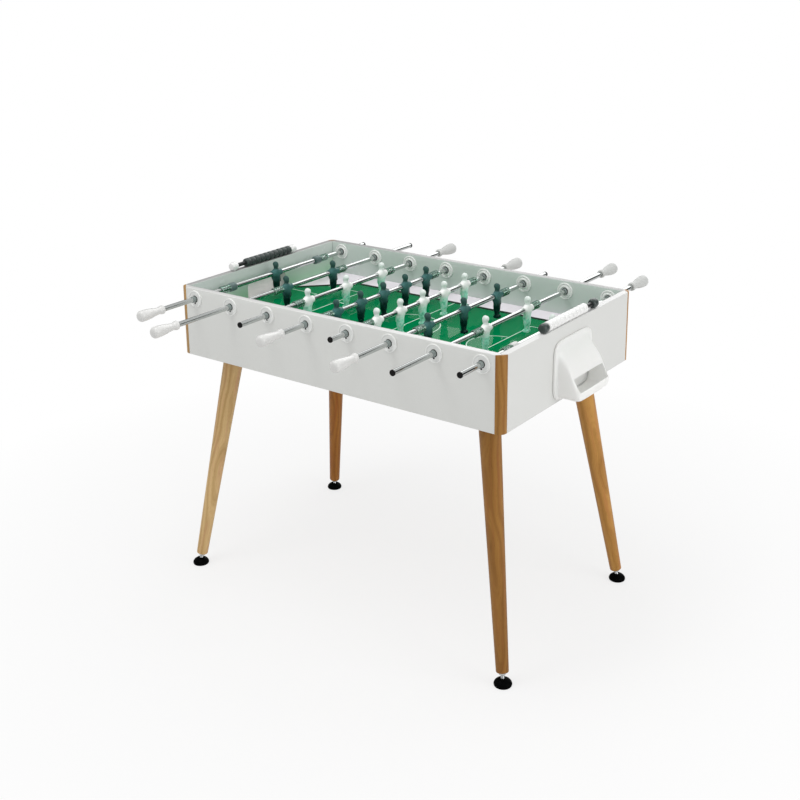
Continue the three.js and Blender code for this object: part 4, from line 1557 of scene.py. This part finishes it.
class FOOSBALL_OT_stage(Maker, bpy.types.Operator):
    """Set up the floor, the lamps, the sky and the camera"""

    bl_idname = "foosball.stage"
    bl_label = "Stage"

    def make(self):
        self.camera()
        self.floor()
        self.sky()
        for name, place, target, size, power in LAMPS:
            self.lamp(name, place, target, size, getattr(settings("stage"), power))
        for card in BLACK_CARDS:
            self.card(*card, glow=0.0)
        self.card(*WHITE_CARD, glow=settings("stage").card)
        bpy.context.scene.view_settings.view_transform = "Standard"

    def camera(self):
        stage = settings("stage")
        yaw, pitch, roll = stage.yaw, stage.pitch, stage.roll
        ahead = Vector((math.sin(yaw) * math.cos(pitch), math.cos(yaw) * math.cos(pitch), -math.sin(pitch)))
        right = Vector((math.cos(yaw), -math.sin(yaw), 0))
        up = right.cross(ahead)
        level = Matrix((right, up, -ahead)).transposed()
        data = bpy.data.cameras.new("camera")
        data.lens = stage.lens
        data.sensor_width = 36
        data.shift_y = stage.shift
        camera = bpy.data.objects.new("camera", data)
        bpy.context.scene.collection.objects.link(camera)
        turn = (level @ Matrix.Rotation(roll, 3, "Z")).to_4x4()
        camera.matrix_world = Matrix.Translation(stage.camera) @ turn
        bpy.context.scene.camera = camera

    def floor(self):
        stage = settings("stage")
        bm = bmesh.new()
        bmesh.ops.create_circle(bm, cap_ends=True, radius=FLOOR_RADIUS, segments=96)
        ground = thing("floor", bm)
        finish = Finish("pale floor", Roughness=0.9, Specular_IOR_Level=0)
        x, y, _ = finish.place.split()
        far = ((x ** 2 + y ** 2) ** 0.5).stretched(0.7, 1.8)
        shade = finish.place.noise(3, 3).tint(stage.floor, [c * 0.985 for c in stage.floor])
        finish.link("Base Color", shade)
        white = finish.flow.node("ShaderNodeEmission", {}, {"Color": (1, 1, 1, 1), "Strength": 1.0})
        share = seen_straight(finish.flow) * (far * (1 - stage.lift) + stage.lift)
        show(finish.flow.tree, share, Flow(finish.flow.tree, finish.surface.outputs[0]), white)
        ground.data.materials.append(finish.material)

    def card(self, name, width, height, aim, glow):
        """A card behind the table, which only glossy surfaces show."""
        bm = bmesh.new()
        bmesh.ops.create_grid(bm, x_segments=1, y_segments=1, size=0.5)
        bmesh.ops.scale(bm, vec=(width, height, 1), verts=bm.verts[:])
        away = Vector(aim).normalized()
        card = thing(name, moved(bm, along(-away, Vector((0, 0, FIELD_Z)) + away * CARD_FAR)))
        black = {"Base_Color": (0.004, 0.004, 0.004, 1), "Roughness": 1}
        finish = Finish(name, Emission_Color=(1, 1, 1, 1), Emission_Strength=glow, **black)
        card.data.materials.append(finish.material)
        for ray in ("camera", "diffuse", "shadow", "transmission"):
            setattr(card, "visible_" + ray, False)

    def sky(self):
        world = bpy.data.worlds.new("sky")
        bpy.context.scene.world = world
        world.use_nodes = True
        tree = world.node_tree
        flow = Flow(tree)
        background = tree.nodes["Background"]
        background.inputs["Color"].default_value = (1, 1, 1, 1)
        strength = settings("stage").sky
        level = seen_straight(flow) * (1 - strength) + strength
        tree.links.new(level.socket, background.inputs["Strength"])

    def lamp(self, name, place, target, size, power):
        data = bpy.data.lights.new(name, "AREA")
        data.shape = "RECTANGLE"
        data.size, data.size_y = size
        data.energy = power
        lamp = bpy.data.objects.new(name, data)
        bpy.context.scene.collection.objects.link(lamp)
        lamp.matrix_world = along(Vector(place) - Vector(target), place)


def seen_straight(flow):
    """1 for rays that show the surroundings straight or through glass."""
    rays = flow.node("ShaderNodeLightPath", {}, {}).socket.node.outputs
    return Flow(flow.tree, rays["Is Camera Ray"]).most(Flow(flow.tree, rays["Is Transmission Ray"]))


# ---------------------------------------------------------------- panel and registration

OPERATORS = (
    FOOSBALL_OT_side_boards,
    FOOSBALL_OT_end_boards,
    FOOSBALL_OT_corner_strips,
    FOOSBALL_OT_bushings,
    FOOSBALL_OT_field,
    FOOSBALL_OT_rods,
    FOOSBALL_OT_collars,
    FOOSBALL_OT_springs,
    FOOSBALL_OT_handles,
    FOOSBALL_OT_players,
    FOOSBALL_OT_scorers,
    FOOSBALL_OT_cups,
    FOOSBALL_OT_legs,
    FOOSBALL_OT_feet,
    FOOSBALL_OT_stage,
)


class FOOSBALL_PT_tools(bpy.types.Panel):
    """Lists the operators that make the table, and the settings they use"""

    bl_idname = "FOOSBALL_PT_tools"
    bl_label = "Foosball table"
    bl_space_type = "VIEW_3D"
    bl_region_type = "UI"
    bl_category = "Foosball"

    def draw(self, context):
        for operator in OPERATORS:
            self.layout.operator(operator.bl_idname)
        for group, kind in SETTINGS.items():
            box = self.layout.box()
            box.label(text=group.capitalize())
            for name in kind.__annotations__:
                box.prop(settings(group), name)


CLASSES = (*SETTINGS.values(), *OPERATORS, FOOSBALL_PT_tools)


def register():
    for kind in CLASSES:
        bpy.utils.register_class(kind)
    for group, kind in SETTINGS.items():
        setattr(bpy.types.Scene, "foosball_" + group, PointerProperty(type=kind))


def unregister():
    for group in SETTINGS:
        delattr(bpy.types.Scene, "foosball_" + group)
    for kind in reversed(CLASSES):
        bpy.utils.unregister_class(kind)


def main():
    register()
    for operator in OPERATORS:
        group, name = operator.bl_idname.split(".")
        getattr(getattr(bpy.ops, group), name)()


if __name__ == "__main__":
    main()
